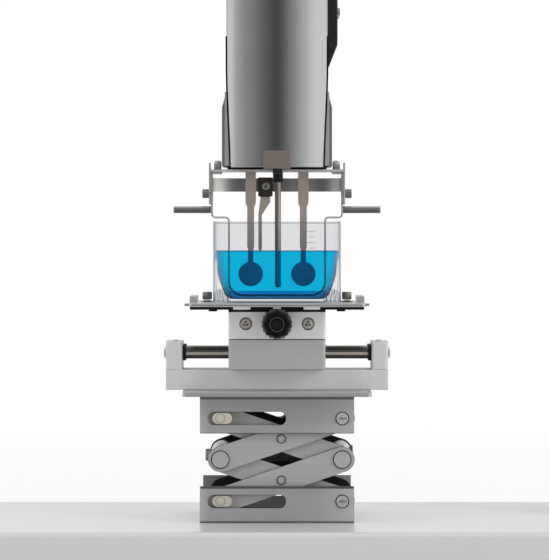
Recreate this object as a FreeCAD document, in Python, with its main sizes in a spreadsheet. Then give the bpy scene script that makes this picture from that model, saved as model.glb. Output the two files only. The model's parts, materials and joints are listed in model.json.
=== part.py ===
"""Vibrating-plate rheometer: measuring head, cup, X/Y stage, scissor jack and stand.

Millimetres. X points right, Y points back, Z points up; the floor is Z = 0 and the
middle of the base plate's foot print is the origin. The head hangs from an arm on a
column at the right, and the sample cup stands below it on a stage and a jack.
"""
import FreeCAD
import Part
import os
import re
import Sketcher

V = FreeCAD.Vector
NEAR = 0.01
doc = FreeCAD.newDocument("Rheometer")

# Every driving size, written once: name, value, meaning.
SIZES = [
    ("base_wide", "400", "base plate, left to right"),
    ("base_deep", "190", "base plate, front to back"),
    ("base_thick", "20", "base plate thickness"),
    ("base_corner", "14", "base plate corner radius"),
    ("base_edge", "3", "base plate top edge rounding"),
    ("foot_high", "15", "underside of the base above the floor"),
    ("foot_inset", "22", "foot centre in from the base's edges"),
    ("foot_pad", "15", "foot pad radius"),
    ("foot_rim", "13", "foot hand rim radius"),
    ("foot_shank", "5", "foot shank radius"),
    ("running", "0.05", "radial running fit of shafts and pins"),
    ("slip", "0.3", "clearance between sliding or neighbouring pieces"),
    ("screw_fit", "0.15", "radial clearance round the Y lead screw"),
    ("hair", "0.1", "gap where a head or a sheet stands off a face"),
    ("past", "1", "reach of a cutting shape past a face"),
    ("column_wide", "34", "column, left to right"),
    ("column_deep", "46", "column, front to back"),
    ("column_long", "462", "column length above the base plate"),
    ("column_middle", "175", "column centre to the right of the middle"),
    ("arm_line", "35", "column and arm centre line behind the middle"),
    ("groove_wide", "9", "groove in the column's front and rear faces"),
    ("groove_deep", "3.5", "depth of that groove"),
    ("rack_wide", "10", "toothed strip on the column, front to back"),
    ("rack_thick", "3", "toothed strip thickness"),
    ("rack_start", "150", "toothed strip start above the base plate"),
    ("jack_wide", "82", "scissor jack frames, left to right"),
    ("jack_deep", "80", "scissor jack frames, front to back"),
    ("frame_high", "19.4", "height of one jack frame"),
    ("frame_sheet", "1.6", "sheet thickness of the jack frames"),
    ("frame_bend", "2", "outer bend rounding of the jack frames"),
    ("pivot_rise", "11.4", "jack pivot from the frame's flat side"),
    ("pivot_inset", "6.3", "fixed pivot in from the frame's right end"),
    ("arm_span", "68.5", "scissor arm between its end pivots"),
    ("arm_tilt", "18.77", "scissor arm angle at rest, degrees"),
    ("arm_half", "6.7", "half the height of a scissor arm"),
    ("arm_sheet", "2", "scissor arm thickness"),
    ("arm_gap", "0.4", "gap between two layers of arms"),
    ("head_gap", "1.5", "gap between frame flange and outer arm"),
    ("head_thick", "1.1", "rivet head thickness"),
    ("head_round", "4.4", "rivet head radius"),
    ("axle_round", "2", "crossing axle radius"),
    ("pivot_round", "2.5", "end pivot and slot rod radius"),
    ("pivot_head", "3.1", "slotted head radius of the pivot rods"),
    ("bar_round", "6", "radius of the nut bar and the bearing bar"),
    ("bar_flat", "4.6", "half thickness across the bearing bar's flats"),
    ("shoe_half", "3", "half height of the sliding shoe in a frame slot"),
    ("shoe_left", "4.3", "sliding shoe left of its pin"),
    ("shoe_right", "6.4", "sliding shoe right of its pin"),
    ("slot_ease", "3.15", "rounding of the frame slots' ends"),
    ("pin_proud", "0.7", "crossing axle past the outer arm"),
    ("cleft_half", "0.35", "half width of a screw slot"),
    ("cleft_deep", "0.5", "depth of a screw slot"),
    ("slot_half", "3.5", "half height of the frame slots"),
    ("slot_left", "4.3", "frame slot start from the frame's left end"),
    ("slot_long", "41.4", "frame slot length"),
    ("screw_round", "3.5", "jack lead screw radius"),
    ("collar_round", "5.5", "jack lead screw collar radius"),
    ("collar_thick", "1.8", "jack lead screw collar thickness"),
    ("screw_stub", "2", "lead screw past the left arm ends"),
    ("hex_half", "1.5", "half width of the drive socket in the lead screw's end"),
    ("hex_deep", "3", "depth of that drive socket"),
    ("plate_wide", "101", "adapter plate on the jack, left to right"),
    ("plate_thick", "2.5", "adapter plate thickness"),
    ("plate_corner", "2.4", "corner radius of the adapter and table plates"),
    ("bar_edge", "0.6", "edge rounding of the stage base bar"),
    ("bar_wide", "120", "stage base bar, left to right"),
    ("bar_deep", "28", "stage base bar, front to back"),
    ("bar_thick", "10.9", "stage base bar thickness"),
    ("end_thick", "9", "stage end block thickness"),
    ("end_high", "15.1", "stage end block height"),
    ("end_bevel", "1.5", "rounding of the end blocks"),
    ("xrod_round", "3.25", "X guide rod radius"),
    ("xrod_half", "8", "X guide rods, half their spacing"),
    ("xrod_rise", "9", "X guide rod axis above the base bar"),
    ("pan_round", "2.8", "pan head radius at the rod ends"),
    ("pan_thick", "1.3", "pan head thickness"),
    ("ring_round", "4.3", "rubber ring radius at the rod ends"),
    ("ring_thick", "1.8", "rubber ring thickness"),
    ("carriage_half", "26", "half width of both carriages"),
    ("carriage_gap", "0.6", "X carriage above the base bar"),
    ("carriage_high", "15.8", "X carriage height"),
    ("upper_high", "14.5", "Y stage block height"),
    ("upper_gap", "0.5", "Y stage blocks above the X carriage"),
    ("upper_thick", "9", "Y stage end blocks, front to back"),
    ("guide_half", "7.9", "half depth of the Y guide block"),
    ("yrod_round", "3.1", "Y guide rod radius"),
    ("yrod_half", "16.7", "Y guide rods, half their spacing"),
    ("yrod_rise", "8.2", "Y guide rod axis above the block's foot"),
    ("yscrew_round", "2.5", "Y lead screw radius"),
    ("wheel_round", "8.4", "scalloped ring radius behind the knob"),
    ("wheel_thick", "3", "scalloped ring thickness"),
    ("knob_round", "7.2", "knob body radius"),
    ("knob_long", "10.4", "knob length"),
    ("lobe_round", "2.1", "knob lobe radius"),
    ("lobe_ring", "6.1", "knob lobe circle radius"),
    ("recess_round", "3.7", "round recess in the knob's face"),
    ("recess_deep", "2.2", "depth of that recess"),
    ("collar_reach", "0.6", "scalloped ring in front of the Y stage"),
    ("scallop_round", "0.95", "radius of the ring's scallops"),
    ("scallop_out", "0.45", "scallop centres outside the ring"),
    ("cap_plate", "1.2", "dark plate on the Y stage"),
    ("tray_thick", "1.7", "black tray under the table plate"),
    ("tray_half", "25.9", "half depth of the black tray"),
    ("notch_deep", "6", "depth of the tray's front notches"),
    ("nut_round", "2.4", "nut radius under the tray"),
    ("nut_high", "1.5", "nut height under the tray"),
    ("nut_in", "3", "nuts in from the table's thumb screws"),
    ("table_wide", "94", "table plate, left to right"),
    ("table_deep", "69", "table plate, front to back"),
    ("table_thick", "2", "table plate thickness"),
    ("lip_wide", "3.9", "upturned lip width at the table's ends"),
    ("lip_high", "3.4", "upturned lip height"),
    ("lip_half", "20", "half length of the upturned lips"),
    ("tscrew_inset", "9.1", "table thumb screw in from the table's end"),
    ("tscrew_round", "2.25", "table thumb screw head radius"),
    ("tscrew_high", "5", "table thumb screw head height"),
    ("tscrew_collar", "0.9", "collar under the thumb screw head"),
    ("shank_round", "1.4", "thumb screw shank radius"),
    ("cup_gap", "1.05", "cup from the table's thumb screws"),
    ("cup_deep", "43", "cup outside, front to back"),
    ("cup_high", "43.7", "cup height"),
    ("cup_corner", "14", "cup outside corner radius"),
    ("cup_skirt", "1.2", "outer wall thickness of the cup"),
    ("cup_rim", "1.8", "rim width of the cup"),
    ("cup_floor", "1.6", "cup floor thickness"),
    ("floor_share", "0.786", "inside floor's width as a share of the cup's"),
    ("floor_deep", "30", "inside floor, front to back"),
    ("floor_corner", "9", "inside floor corner radius"),
    ("taper_high", "26.8", "height of the well's taper above its floor"),
    ("taper_share", "0.936", "width at the top of that taper as a share of the cup's"),
    ("taper_deep", "38.8", "well at the top of that taper, front to back"),
    ("wall_thick", "1.3", "inner wall thickness of the cup"),
    ("sensor_rise", "13.5", "disc centre above the cup's inside floor"),
    ("disc_round", "6.65", "sensor disc radius"),
    ("paddle_place", "14.3", "paddle centre from the middle"),
    ("paddle_thick", "0.8", "paddle thickness"),
    ("paddle_wide", "5.7", "paddle upper part width"),
    ("paddle_mid", "3.8", "paddle middle part width"),
    ("paddle_neck", "2.9", "paddle neck width in the liquid"),
    ("neck_rise", "13.6", "neck length above the disc centre"),
    ("mid_rise", "36.4", "middle part top above the disc centre"),
    ("wide_rise", "38.6", "upper part foot above the disc centre"),
    ("paddle_rise", "75", "paddle top above the disc centre"),
    ("slot_room", "4.4", "half width of the paddles' slots in the frame plate"),
    ("head_rise", "55.3", "frame plate underside above the disc centre"),
    ("frame_half", "36", "half width of the frame plate"),
    ("frame_deep", "44", "frame plate, front to back"),
    ("frame_plate", "1.2", "frame plate thickness"),
    ("strip_thick", "0.9", "side strip thickness"),
    ("strip_half", "6", "half depth of the side strips"),
    ("strip_drop", "17.6", "side strip below the frame plate"),
    ("strip_lip", "3.8", "side strip above the frame plate"),
    ("guard_half", "35.8", "protector outside half width at the top"),
    ("guard_gap", "0.6", "protector from the edge of the cup's inside floor"),
    ("guard_sheet", "1", "protector strip thickness"),
    ("guard_deep", "4.5", "half depth of the protector strip"),
    ("guard_step", "24.1", "protector step below the frame plate"),
    ("guard_foot", "67.3", "protector's lowest face below the frame plate"),
    ("guard_bend", "8", "protector bend in the cup"),
    ("guard_turn", "2.4", "protector bends at the step"),
    ("guard_tab", "6", "protector tab under the frame plate"),
    ("handle_round", "1.95", "handle rod radius"),
    ("handle_long", "20.4", "handle rod length"),
    ("handle_drop", "20.3", "handle rod axis below the frame plate"),
    ("sscrew_drop", "11.6", "side thumb screw below the frame plate"),
    ("sscrew_round", "2.5", "side thumb screw head radius"),
    ("sscrew_long", "3.6", "side thumb screw head length"),
    ("fscrew_place", "32.2", "frame thumb screw from the middle"),
    ("fscrew_round", "2", "frame thumb screw head radius"),
    ("fscrew_high", "5.1", "frame thumb screw head height"),
    ("band_high", "7.3", "height of the band behind the paddles"),
    ("band_drop", "3.2", "band top below the frame plate"),
    ("band_bow", "80", "bow radius of the band"),
    ("band_thick", "0.9", "band thickness"),
    ("band_back", "10", "band's rearmost face behind the paddles"),
    ("gauge_thick", "0.9", "level gauge thickness"),
    ("gauge_wide", "7.9", "level gauge bracket width"),
    ("gauge_right", "2.4", "level gauge bracket's right edge left of the middle"),
    ("gauge_tip", "2", "level gauge strip width"),
    ("gauge_drop", "2.7", "level gauge top below the frame plate"),
    ("gauge_body", "10.4", "level gauge bracket height"),
    ("gauge_step", "1.3", "gauge leg narrower than its bracket, each side"),
    ("gauge_knee", "3.2", "straight top of the gauge's leg"),
    ("gauge_taper", "10", "level gauge leg from the bracket to the strip"),
    ("gauge_long", "43", "level gauge from top to tip"),
    ("probe_place", "0.5", "temperature probe right of the middle"),
    ("probe_round", "1.7", "temperature probe radius"),
    ("probe_drop", "62.7", "temperature probe below the frame plate"),
    ("boss_round", "2.75", "probe boss radius"),
    ("boss_high", "5.4", "probe boss below the frame plate"),
    ("skirt_half", "29.7", "half width of the head's lower part"),
    ("skirt_high", "31.7", "height of the head's wider lower part"),
    ("flare_high", "9.2", "height of the flare above it"),
    ("head_half", "27.2", "half width of the head above the flare"),
    ("head_high", "215", "head height"),
    ("head_lift", "1.6", "head's lower edge above the frame plate"),
    ("head_front", "20", "front edge of the head's sides before the middle"),
    ("head_back", "50", "head's rear face behind the middle"),
    ("head_wall", "2.2", "wall of the rear housing"),
    ("cover_round", "38.7", "radius of the convex front cover"),
    ("cover_bulge", "12", "front cover bulge"),
    ("cover_wall", "1.6", "front cover wall"),
    ("cover_foot", "26.6", "front cover half width at its foot"),
    ("cover_top", "28", "front cover half width at its top"),
    ("tab_wide", "14.4", "front tab width"),
    ("tab_high", "9.8", "front tab height above the frame plate"),
    ("tab_thick", "1.2", "front tab thickness"),
    ("tab_foot", "4", "front tab's foot under the frame plate"),
    ("chassis_thick", "3", "chassis floor thickness"),
    ("chassis_half", "26.6", "half width of the chassis floor"),
    ("chassis_back", "4", "chassis back wall thickness"),
    ("chassis_high", "200", "chassis height"),
    ("block_rise", "78", "spring block above the chassis floor"),
    ("block_high", "14", "spring block height"),
    ("block_half", "20", "half width of the spring block"),
    ("clamp_wide", "9", "sensor clamp width"),
    ("clamp_deep", "7", "sensor clamp depth"),
    ("clamp_foot", "9", "sensor clamp above the frame plate"),
    ("clamp_high", "20", "sensor clamp height"),
    ("leaf_thick", "0.6", "leaf spring thickness"),
    ("leaf_deep", "12", "leaf spring width, front to back"),
    ("block_front", "4", "spring block's front face before the middle"),
    ("coil_front", "3", "drive unit behind the middle"),
    ("coil_half", "7", "half width of the drive unit"),
    ("coil_deep", "20", "drive unit depth"),
    ("coil_high", "24", "drive unit height"),
    ("board_half", "19", "half width of the circuit board"),
    ("board_high", "88", "circuit board height"),
    ("board_thick", "1.6", "circuit board thickness"),
    ("board_rise", "95", "circuit board above the chassis floor"),
    ("post_long", "2", "post behind the circuit board"),
    ("post_round", "2", "post radius"),
    ("post_inset", "4", "posts in from the board's edges"),
    ("vent_wide", "32", "vents in the head's rear face, left to right"),
    ("vent_high", "1.8", "vent height"),
    ("vent_pitch", "5", "vent spacing"),
    ("vent_rise", "60", "lowest vent above the head's lower edge"),
    ("socket_round", "8", "signal socket radius"),
    ("socket_long", "7", "signal socket past the rear face"),
    ("socket_bore", "5.8", "bore radius of the signal socket"),
    ("socket_in", "4", "bore depth of the signal socket"),
    ("socket_drop", "60", "signal socket below the head's top"),
    ("bracket_thick", "6", "black side bracket thickness"),
    ("bracket_rise", "55.4", "bracket tip above the head's lower edge"),
    ("bracket_high", "118", "side bracket height"),
    ("bracket_deep", "34", "side bracket, front to back"),
    ("wing_ahead", "4", "bracket before the arm's middle line"),
    ("bracket_tip", "1.3", "bracket thickness at its tip"),
    ("bracket_taper", "12", "height of the bracket's taper"),
    ("arm_high", "40", "head arm height"),
    ("arm_deep", "30", "head arm, front to back"),
    ("arm_rise", "120", "head arm's underside above the head's lower edge"),
    ("arm_edge", "5", "head arm edge rounding"),
    ("slider_high", "70", "column slider height"),
    ("slider_deep", "62", "column slider, front to back"),
    ("slider_left", "24", "column slider left of the column"),
    ("slider_right", "7.6", "column slider right of the column"),
    ("slider_rise", "105", "slider's underside above the head's lower edge"),
    ("pinion_round", "9", "lift pinion radius"),
    ("pinion_long", "13", "lift pinion length"),
    ("shaft_round", "4", "lift shaft radius"),
    ("lift_round", "14", "lift knob radius"),
    ("lift_long", "16", "lift knob length"),
    ("lock_round", "10", "lock knob radius"),
    ("lock_long", "15", "lock knob length"),
    ("lock_shank", "3", "lock screw radius"),
    ("knob_gap", "0.5", "hand knobs before the slider"),
    ("flute_round", "2.2", "finger groove radius of the hand knobs"),
    ("flute_out", "1.2", "finger groove centres outside the knob"),
    ("lock_rise", "16", "lock screw above the slider's underside"),
]

# Places that follow from the sizes, in order.
PLACES = [
    ("base_top", "foot_high + base_thick"),
    ("foot_side", "base_wide/2 - foot_inset"),
    ("foot_front", "base_deep/2 - foot_inset"),
    ("pivot_side", "jack_wide/2 - pivot_inset"),
    ("stage_lift", "arm_span*sin(arm_tilt)"),
    ("stage_reach", "arm_span*cos(arm_tilt)"),
    ("slot_side", "pivot_side - stage_reach"),
    ("cross_side", "pivot_side - stage_reach/2"),
    ("pivot_low", "base_top + pivot_rise"),
    ("pivot_mid", "pivot_low + stage_lift"),
    ("pivot_top", "pivot_mid + stage_lift"),
    ("cross_low", "pivot_low + stage_lift/2"),
    ("cross_top", "pivot_mid + stage_lift/2"),
    ("jack_top", "pivot_top + pivot_rise"),
    ("frame_inside", "jack_deep/2 - frame_sheet"),
    ("outer_face", "frame_inside - head_gap"),
    ("outer_back", "outer_face - arm_sheet"),
    ("inner_face", "outer_back - arm_gap"),
    ("inner_back", "inner_face - arm_sheet"),
    ("bar_foot", "jack_top + plate_thick"),
    ("bar_top", "bar_foot + bar_thick"),
    ("xrod_level", "bar_top + xrod_rise"),
    ("car_foot", "bar_top + carriage_gap"),
    ("car_top", "car_foot + carriage_high"),
    ("up_foot", "car_top + upper_gap"),
    ("up_top", "up_foot + upper_high"),
    ("yrod_level", "up_foot + yrod_rise"),
    ("tray_foot", "up_top + cap_plate"),
    ("tray_top", "tray_foot + tray_thick"),
    ("table_top", "tray_top + table_thick"),
    ("tscrew_place", "table_wide/2 - tscrew_inset"),
    ("cup_wide", "(tscrew_place - tscrew_round - cup_gap)*2"),
    ("floor_wide", "cup_wide*floor_share"),
    ("taper_wide", "cup_wide*taper_share"),
    ("guard_inner", "floor_wide/2 - guard_gap"),
    ("cup_inside", "table_top + cup_floor"),
    ("cup_top", "table_top + cup_high"),
    ("disc_level", "cup_inside + sensor_rise"),
    ("frame_foot", "disc_level + head_rise"),
    ("frame_top", "frame_foot + frame_plate"),
    ("head_foot", "frame_top + head_lift"),
    ("head_top", "head_foot + head_high"),
    ("chassis_top", "frame_top + chassis_thick"),
    ("clamp_low", "frame_top + clamp_foot"),
    ("clamp_up", "clamp_low + clamp_high"),
    ("block_low", "chassis_top + block_rise"),
    ("arm_low", "head_foot + arm_rise"),
    ("slider_low", "head_foot + slider_rise"),
    ("column_left", "column_middle - column_wide/2"),
    ("column_right", "column_middle + column_wide/2"),
    ("column_front", "arm_line - column_deep/2"),
    ("column_rear", "arm_line + column_deep/2"),
    ("slider_front", "arm_line - slider_deep/2"),
    ("slider_rear", "arm_line + slider_deep/2"),
    ("slider_side", "column_left - slider_left"),
    ("pinion_side", "column_left - rack_thick - slip - pinion_round"),
    ("lift_level", "slider_low + slider_high/2"),
]

sizes = doc.addObject("Spreadsheet::Sheet", "Sizes")
for row, (alias, value, meaning) in enumerate(SIZES, 1):
    sizes.set("A%d" % row, meaning)
    sizes.set("B%d" % row, value)
    sizes.setAlias("B%d" % row, alias)
places = doc.addObject("Spreadsheet::Sheet", "Places")
OWN = {row[0] for row in SIZES}
FOUND = {row[0] for row in PLACES}


def named(formula):
    """Return a formula with each name led by the sheet that holds it."""
    def one(hit):
        word = hit.group(0)
        if word in OWN:
            return "Sizes." + word
        return "Places." + word if word in FOUND else word
    return re.sub(r"[a-z][a-z_]+", one, str(formula))


for row, (alias, formula) in enumerate(PLACES, 1):
    places.set("A%d" % row, alias.replace("_", " "))
    places.set("B%d" % row, "=" + named(formula))
    places.setAlias("B%d" % row, alias)
doc.recompute()


def size(formula):
    """Return the number that a formula stands for now."""
    found = sizes.evalExpression(named(formula))
    return float(getattr(found, "Value", found))


def bind(item, **formulas):
    """Tie properties of an object to formulas; two underscores stand for a dot."""
    for key, formula in formulas.items():
        item.setExpression(key.replace("__", "."), named(formula))
    return item


TURN = {
    "x": FreeCAD.Rotation(V(0, 1, 0), 90),
    "y": FreeCAD.Rotation(V(1, 0, 0), -90),
    "z": FreeCAD.Rotation(),
}
FLAT = {
    "xy": FreeCAD.Rotation(),
    "yz": FreeCAD.Rotation(V(1, 1, 1), 120),
    "xz": FreeCAD.Rotation(V(1, 1, 1), 240),
}
NORMAL = {"xy": "z", "yz": "x", "xz": "y"}


def set_place(item, turn, x="0", y="0", z="0"):
    """Turn an object and tie the place of its origin to formulas."""
    item.Placement = FreeCAD.Placement(V(size(x), size(y), size(z)), turn)
    bind(item, Placement__Base__x=x, Placement__Base__y=y, Placement__Base__z=z)
    return item


def block(xs, ys, zs):
    """Add a box between two limits on each axis."""
    item = doc.addObject("Part::Box", "Block")
    bind(item, Length="(%s)-(%s)" % (xs[1], xs[0]), Width="(%s)-(%s)" % (ys[1], ys[0]),
         Height="(%s)-(%s)" % (zs[1], zs[0]))
    return set_place(item, TURN["z"], xs[0], ys[0], zs[0])


def rod(axis, radius, span, one="0", two="0"):
    """Add a cylinder along an axis; one and two are its centre on the other axes."""
    item = doc.addObject("Part::Cylinder", "Rod")
    bind(item, Radius=radius, Height="(%s)-(%s)" % (span[1], span[0]))
    spot = {"x": (span[0], one, two), "y": (one, span[0], two), "z": (one, two, span[0])}
    return set_place(item, TURN[axis], *spot[axis])


def sketch(plane, points, at="0", host=None, rings=()):
    """Draw a closed outline, or rings, with every corner tied to formulas."""
    item = (host or doc).newObject("Sketcher::SketchObject", "Outline") if host else \
        doc.addObject("Sketcher::SketchObject", "Outline")
    swap = plane == "xz"
    corners = [(b, a) if swap else (a, b) for a, b in points]
    spots = [V(size(a), size(b), 0) for a, b in corners]
    count = len(corners)
    for i in range(count):
        item.addGeometry(Part.LineSegment(spots[i], spots[(i + 1) % count]), False)
    for i in range(count):
        item.addConstraint(Sketcher.Constraint("Coincident", i, 2, (i + 1) % count, 1))
    for i, (a, b) in enumerate(corners):
        tie_point(item, i, 1, a, b)
    for a, b, radius in rings:
        a, b = (b, a) if swap else (a, b)
        ring = item.addGeometry(
            Part.Circle(V(size(a), size(b), 0), V(0, 0, 1), size(radius)), False)
        tie_point(item, ring, 3, a, b)
        k = item.addConstraint(Sketcher.Constraint("Radius", ring, size(radius)))
        item.setExpression("Constraints[%d]" % k, named(radius))
    spot = {"xy": ("0", "0", at), "yz": (at, "0", "0"), "xz": ("0", at, "0")}
    return set_place(item, FLAT[plane], *spot[plane])


def tie_point(item, index, spot, a, b):
    """Tie one sketch point to formulas, or to the axis where it is zero."""
    for kind, formula, axis in (("DistanceX", a, -2), ("DistanceY", b, -1)):
        if str(formula) == "0":
            item.addConstraint(Sketcher.Constraint("PointOnObject", index, spot, axis))
            continue
        k = item.addConstraint(
            Sketcher.Constraint(kind, -1, 1, index, spot, size(formula)))
        item.setExpression("Constraints[%d]" % k, named(formula))


def prism(plane, points, span, rings=()):
    """Extrude an outline from span[0] to span[1] along its plane's normal."""
    item = doc.addObject("Part::Extrusion", "Prism")
    item.Base = sketch(plane, points, span[0], None, rings)
    item.DirMode = "Normal"
    item.Solid = True
    return bind(item, LengthFwd="(%s)-(%s)" % (span[1], span[0]))


def cut(base, *tools):
    """Take one or more shapes away from a shape."""
    item = doc.addObject("Part::Cut", "Cut")
    item.Base = base
    item.Tool = tools[0] if len(tools) == 1 else join(*tools)
    return item


def join(*shapes):
    """Fuse shapes into one."""
    item = doc.addObject("Part::MultiFuse", "Join")
    item.Shapes = list(shapes)
    item.Refine = True
    return item


def shared(one, two):
    """Keep what two shapes share."""
    item = doc.addObject("Part::MultiCommon", "Shared")
    item.Shapes = [one, two]
    return item


def mirrored(source, axis="y"):
    """Mirror a shape through the middle plane across an axis."""
    item = doc.addObject("Part::Mirroring", "Mirror")
    item.Source = source
    item.Normal = V(axis == "x", axis == "y", axis == "z")
    return item


def rounded(base, radius, wanted):
    """Round the edges that a test picks; radius is a size name."""
    doc.recompute()
    item = doc.addObject("Part::Fillet", "Rounded")
    item.Base = base
    value = size(radius)
    item.Edges = [(i, value, value) for i, edge in enumerate(base.Shape.Edges, 1)
                  if wanted(edge)]
    return item


def along(edge, axis):
    """Say whether an edge is straight along an axis."""
    if edge.Curve.TypeId != "Part::GeomLine":
        return False
    way = edge.Vertexes[-1].Point - edge.Vertexes[0].Point
    return abs(abs(getattr(way, axis)) - way.Length) < NEAR and way.Length > NEAR


NODES = []


def node(label, item):
    """Name an object as one separate piece of the instrument."""
    item.Label = label
    NODES.append((label, item))
    return item


def new_body(label):
    """Start a body that is built feature by feature."""
    item = doc.addObject("PartDesign::Body", "Body")
    return node(label, item)


def pad(body, plane, points, span, rings=()):
    """Add a padded outline to a body, from span[0] to span[1]."""
    item = body.newObject("PartDesign::Pad", "Pad")
    item.Profile = sketch(plane, points, span[0], body, rings)
    bind(item, Length="(%s)-(%s)" % (span[1], span[0]))
    doc.recompute()
    return item


def pocket(body, plane, points, span, rings=()):
    """Cut an outline out of a body, from span[0] to span[1]."""
    before = body.Shape.Volume
    item = body.newObject("PartDesign::Pocket", "Pocket")
    item.Profile = sketch(plane, points, span[0], body, rings)
    item.Reversed = True
    bind(item, Length="(%s)-(%s)" % (span[1], span[0]))
    doc.recompute()
    if not body.Shape.Volume < before - NEAR:
        raise SystemExit("a pocket took nothing away in " + body.Label)
    return item


def ease(body, radius, wanted):
    """Round the edges of a body that a test picks."""
    last = body.Tip
    edges = ["Edge%d" % i for i, e in enumerate(last.Shape.Edges, 1) if wanted(e)]
    item = body.newObject("PartDesign::Fillet", "Fillet")
    item.Base = (last, edges)
    bind(item, Radius=radius)
    doc.recompute()
    return item


def rect(a0, a1, b0, b1):
    """Return the corners of a rectangle."""
    return [(a0, b0), (a1, b0), (a1, b1), (a0, b1)]


# The stand.
base = new_body("base_plate")
pad(base, "xy", rect("-base_wide/2", "base_wide/2", "-base_deep/2", "base_deep/2"),
    ("foot_high", "base_top"))
ease(base, "base_corner", lambda e: along(e, "z"))
ease(base, "base_edge", lambda e: e.BoundBox.ZMin > size("base_top") - NEAR)
pocket(base, "xy", [], ("foot_high", "base_top - past"),
       [("%sfoot_side" % a, "%sfoot_front" % b, "foot_shank + running")
        for a in ("-", "") for b in ("-", "")])

for side, a in (("left", "-"), ("right", "")):
    for end, b in (("front", "-"), ("rear", "")):
        spot = (a + "foot_side", b + "foot_front")
        node("foot_%s_%s" % (side, end), join(
            rod("z", "foot_pad", ("0", "foot_high*0.3"), *spot),
            rod("z", "foot_shank", ("foot_high*0.3", "base_top - past - slip"), *spot),
            rod("z", "foot_rim", ("foot_high*0.45", "foot_high*0.9"), *spot)))

column = new_body("column")
pad(column, "xy", [
    ("column_left", "column_front"), ("column_middle - groove_wide/2", "column_front"),
    ("column_middle - groove_wide/2", "column_front + groove_deep"),
    ("column_middle + groove_wide/2", "column_front + groove_deep"),
    ("column_middle + groove_wide/2", "column_front"),
    ("column_right", "column_front"), ("column_right", "column_rear"),
    ("column_middle + groove_wide/2", "column_rear"),
    ("column_middle + groove_wide/2", "column_rear - groove_deep"),
    ("column_middle - groove_wide/2", "column_rear - groove_deep"),
    ("column_middle - groove_wide/2", "column_rear"), ("column_left", "column_rear")],
    ("base_top", "base_top + column_long"))
ease(column, "base_edge", lambda e: along(e, "z") and abs(
    abs(e.BoundBox.Center.x - size("column_middle")) - size("column_wide/2")) < NEAR)
pad(column, "xy", rect("column_left - rack_thick", "column_left + past",
                       "arm_line - rack_wide/2", "arm_line + rack_wide/2"),
    ("base_top + rack_start", "base_top + column_long - past*2"))


# The scissor jack.
WHOLE = ("-jack_deep/2 - past", "jack_deep/2 + past")


def channel(label, flat, edge, web, slot_way):
    """Build a jack frame: flat side at flat, flanges reaching to edge."""
    body = new_body(label)
    out, inn = "jack_deep/2", "frame_inside"
    pad(body, "yz", [("-" + out, flat), (out, flat), (out, edge), (inn, edge),
                     (inn, web), ("-" + inn, web), ("-" + inn, edge), ("-" + out, edge)],
        ("-jack_wide/2", "jack_wide/2"))
    ease(body, "frame_bend", lambda e: along(e, "x") and abs(
        e.BoundBox.Center.z - size(flat)) < NEAR)
    left = "slot_left - jack_wide/2"
    pocket(body, "xz", rect(left, left + " + slot_long", slot_way + " - slot_half",
                            slot_way + " + slot_half"), WHOLE)
    ease(body, "slot_ease", lambda e: along(e, "y") and abs(
        abs(e.BoundBox.Center.z - size(slot_way)) - size("slot_half")) < NEAR)
    pocket(body, "xz", [], WHOLE,
           [("pivot_side", slot_way, "pivot_round")])
    return body


channel("jack_lower_frame", "base_top", "base_top + frame_high", "base_top + frame_sheet",
        "pivot_low")
channel("jack_top_frame", "jack_top", "jack_top - frame_high", "jack_top - frame_sheet",
        "pivot_top")


def pivot_rod(label, level):
    """Build a fixed pivot rod with a slotted head outside each flange."""
    reach, head = "jack_deep/2", "jack_deep/2 + head_thick"
    slots = [block(("pivot_side - pivot_head", "pivot_side + pivot_head"),
                   (a, b), (level + " - cleft_half", level + " + cleft_half"))
             for a, b in (("-%s - head_thick - past" % reach,
                           "-%s - head_thick + cleft_deep" % reach),
                          (head + " - cleft_deep", head + " + past"))]
    return node(label, cut(join(
        rod("y", "pivot_round", ("-" + reach, reach), "pivot_side", level),
        rod("y", "pivot_head", ("-%s - head_thick" % reach, "-" + reach), "pivot_side", level),
        rod("y", "pivot_head", (reach, head), "pivot_side", level)), *slots))


pivot_rod("jack_lower_pivot", "pivot_low")
pivot_rod("jack_upper_pivot", "pivot_top")


def shoes(sign, place):
    """Build the front and rear sliding shoes round a pin, level when the arm tilts."""
    near, far = "outer_face + slip", "jack_deep/2 - slip"
    back, ahead = "shoe_half - shoe_left", "shoe_right - shoe_half"
    shapes = []
    for span in ((near, far), ("-(%s)" % far, "-(%s)" % near)):
        shapes += [rod("y", "shoe_half", span, back), rod("y", "shoe_half", span, ahead),
                   block((back, ahead), span, ("-shoe_half", "shoe_half"))]
    pair = join(*shapes)
    pair.Placement = FreeCAD.Placement(V(), FreeCAD.Rotation(V(0, 1, 0), sign * 18.0))
    return bind(pair, Placement__Rotation__Angle="%s*arm_tilt" % sign, Placement__Base__x=place)


def arm_pair(label, near, far, level, sign, bores, pins):
    """Build front and rear arms about their crossing, joined by rods, then tilt them.

    bores and pins list (place along the arm, radius); a pin also has its half length,
    and one that reaches a frame's slot carries a pair of shoes.
    """
    half = "arm_span/2"
    plates = []
    for a, b in (("-" + near, "-(%s)" % far), (far, near)):
        plates.append(join(
            block(("-" + half, half), (a, b), ("-arm_half", "arm_half")),
            rod("y", "arm_half", (a, b), "-" + half, "0"),
            rod("y", "arm_half", (a, b), half, "0")))
    drilled = cut(join(*plates), *[rod("y", radius, WHOLE, place, "0")
                                   for place, radius in bores])
    extra = [shoes(-sign, place) for place, radius, reach in pins if reach == slot_reach]
    item = join(drilled, *[rod("y", radius, ("-(%s)" % reach, reach), place, "0")
                           for place, radius, reach in pins], *extra)
    item.Placement = FreeCAD.Placement(V(), FreeCAD.Rotation(V(0, 1, 0), sign * 18.0))
    bind(item, Placement__Rotation__Angle="%s*arm_tilt" % sign,
         Placement__Base__x="cross_side", Placement__Base__z=level)
    return node(label, item)


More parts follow.
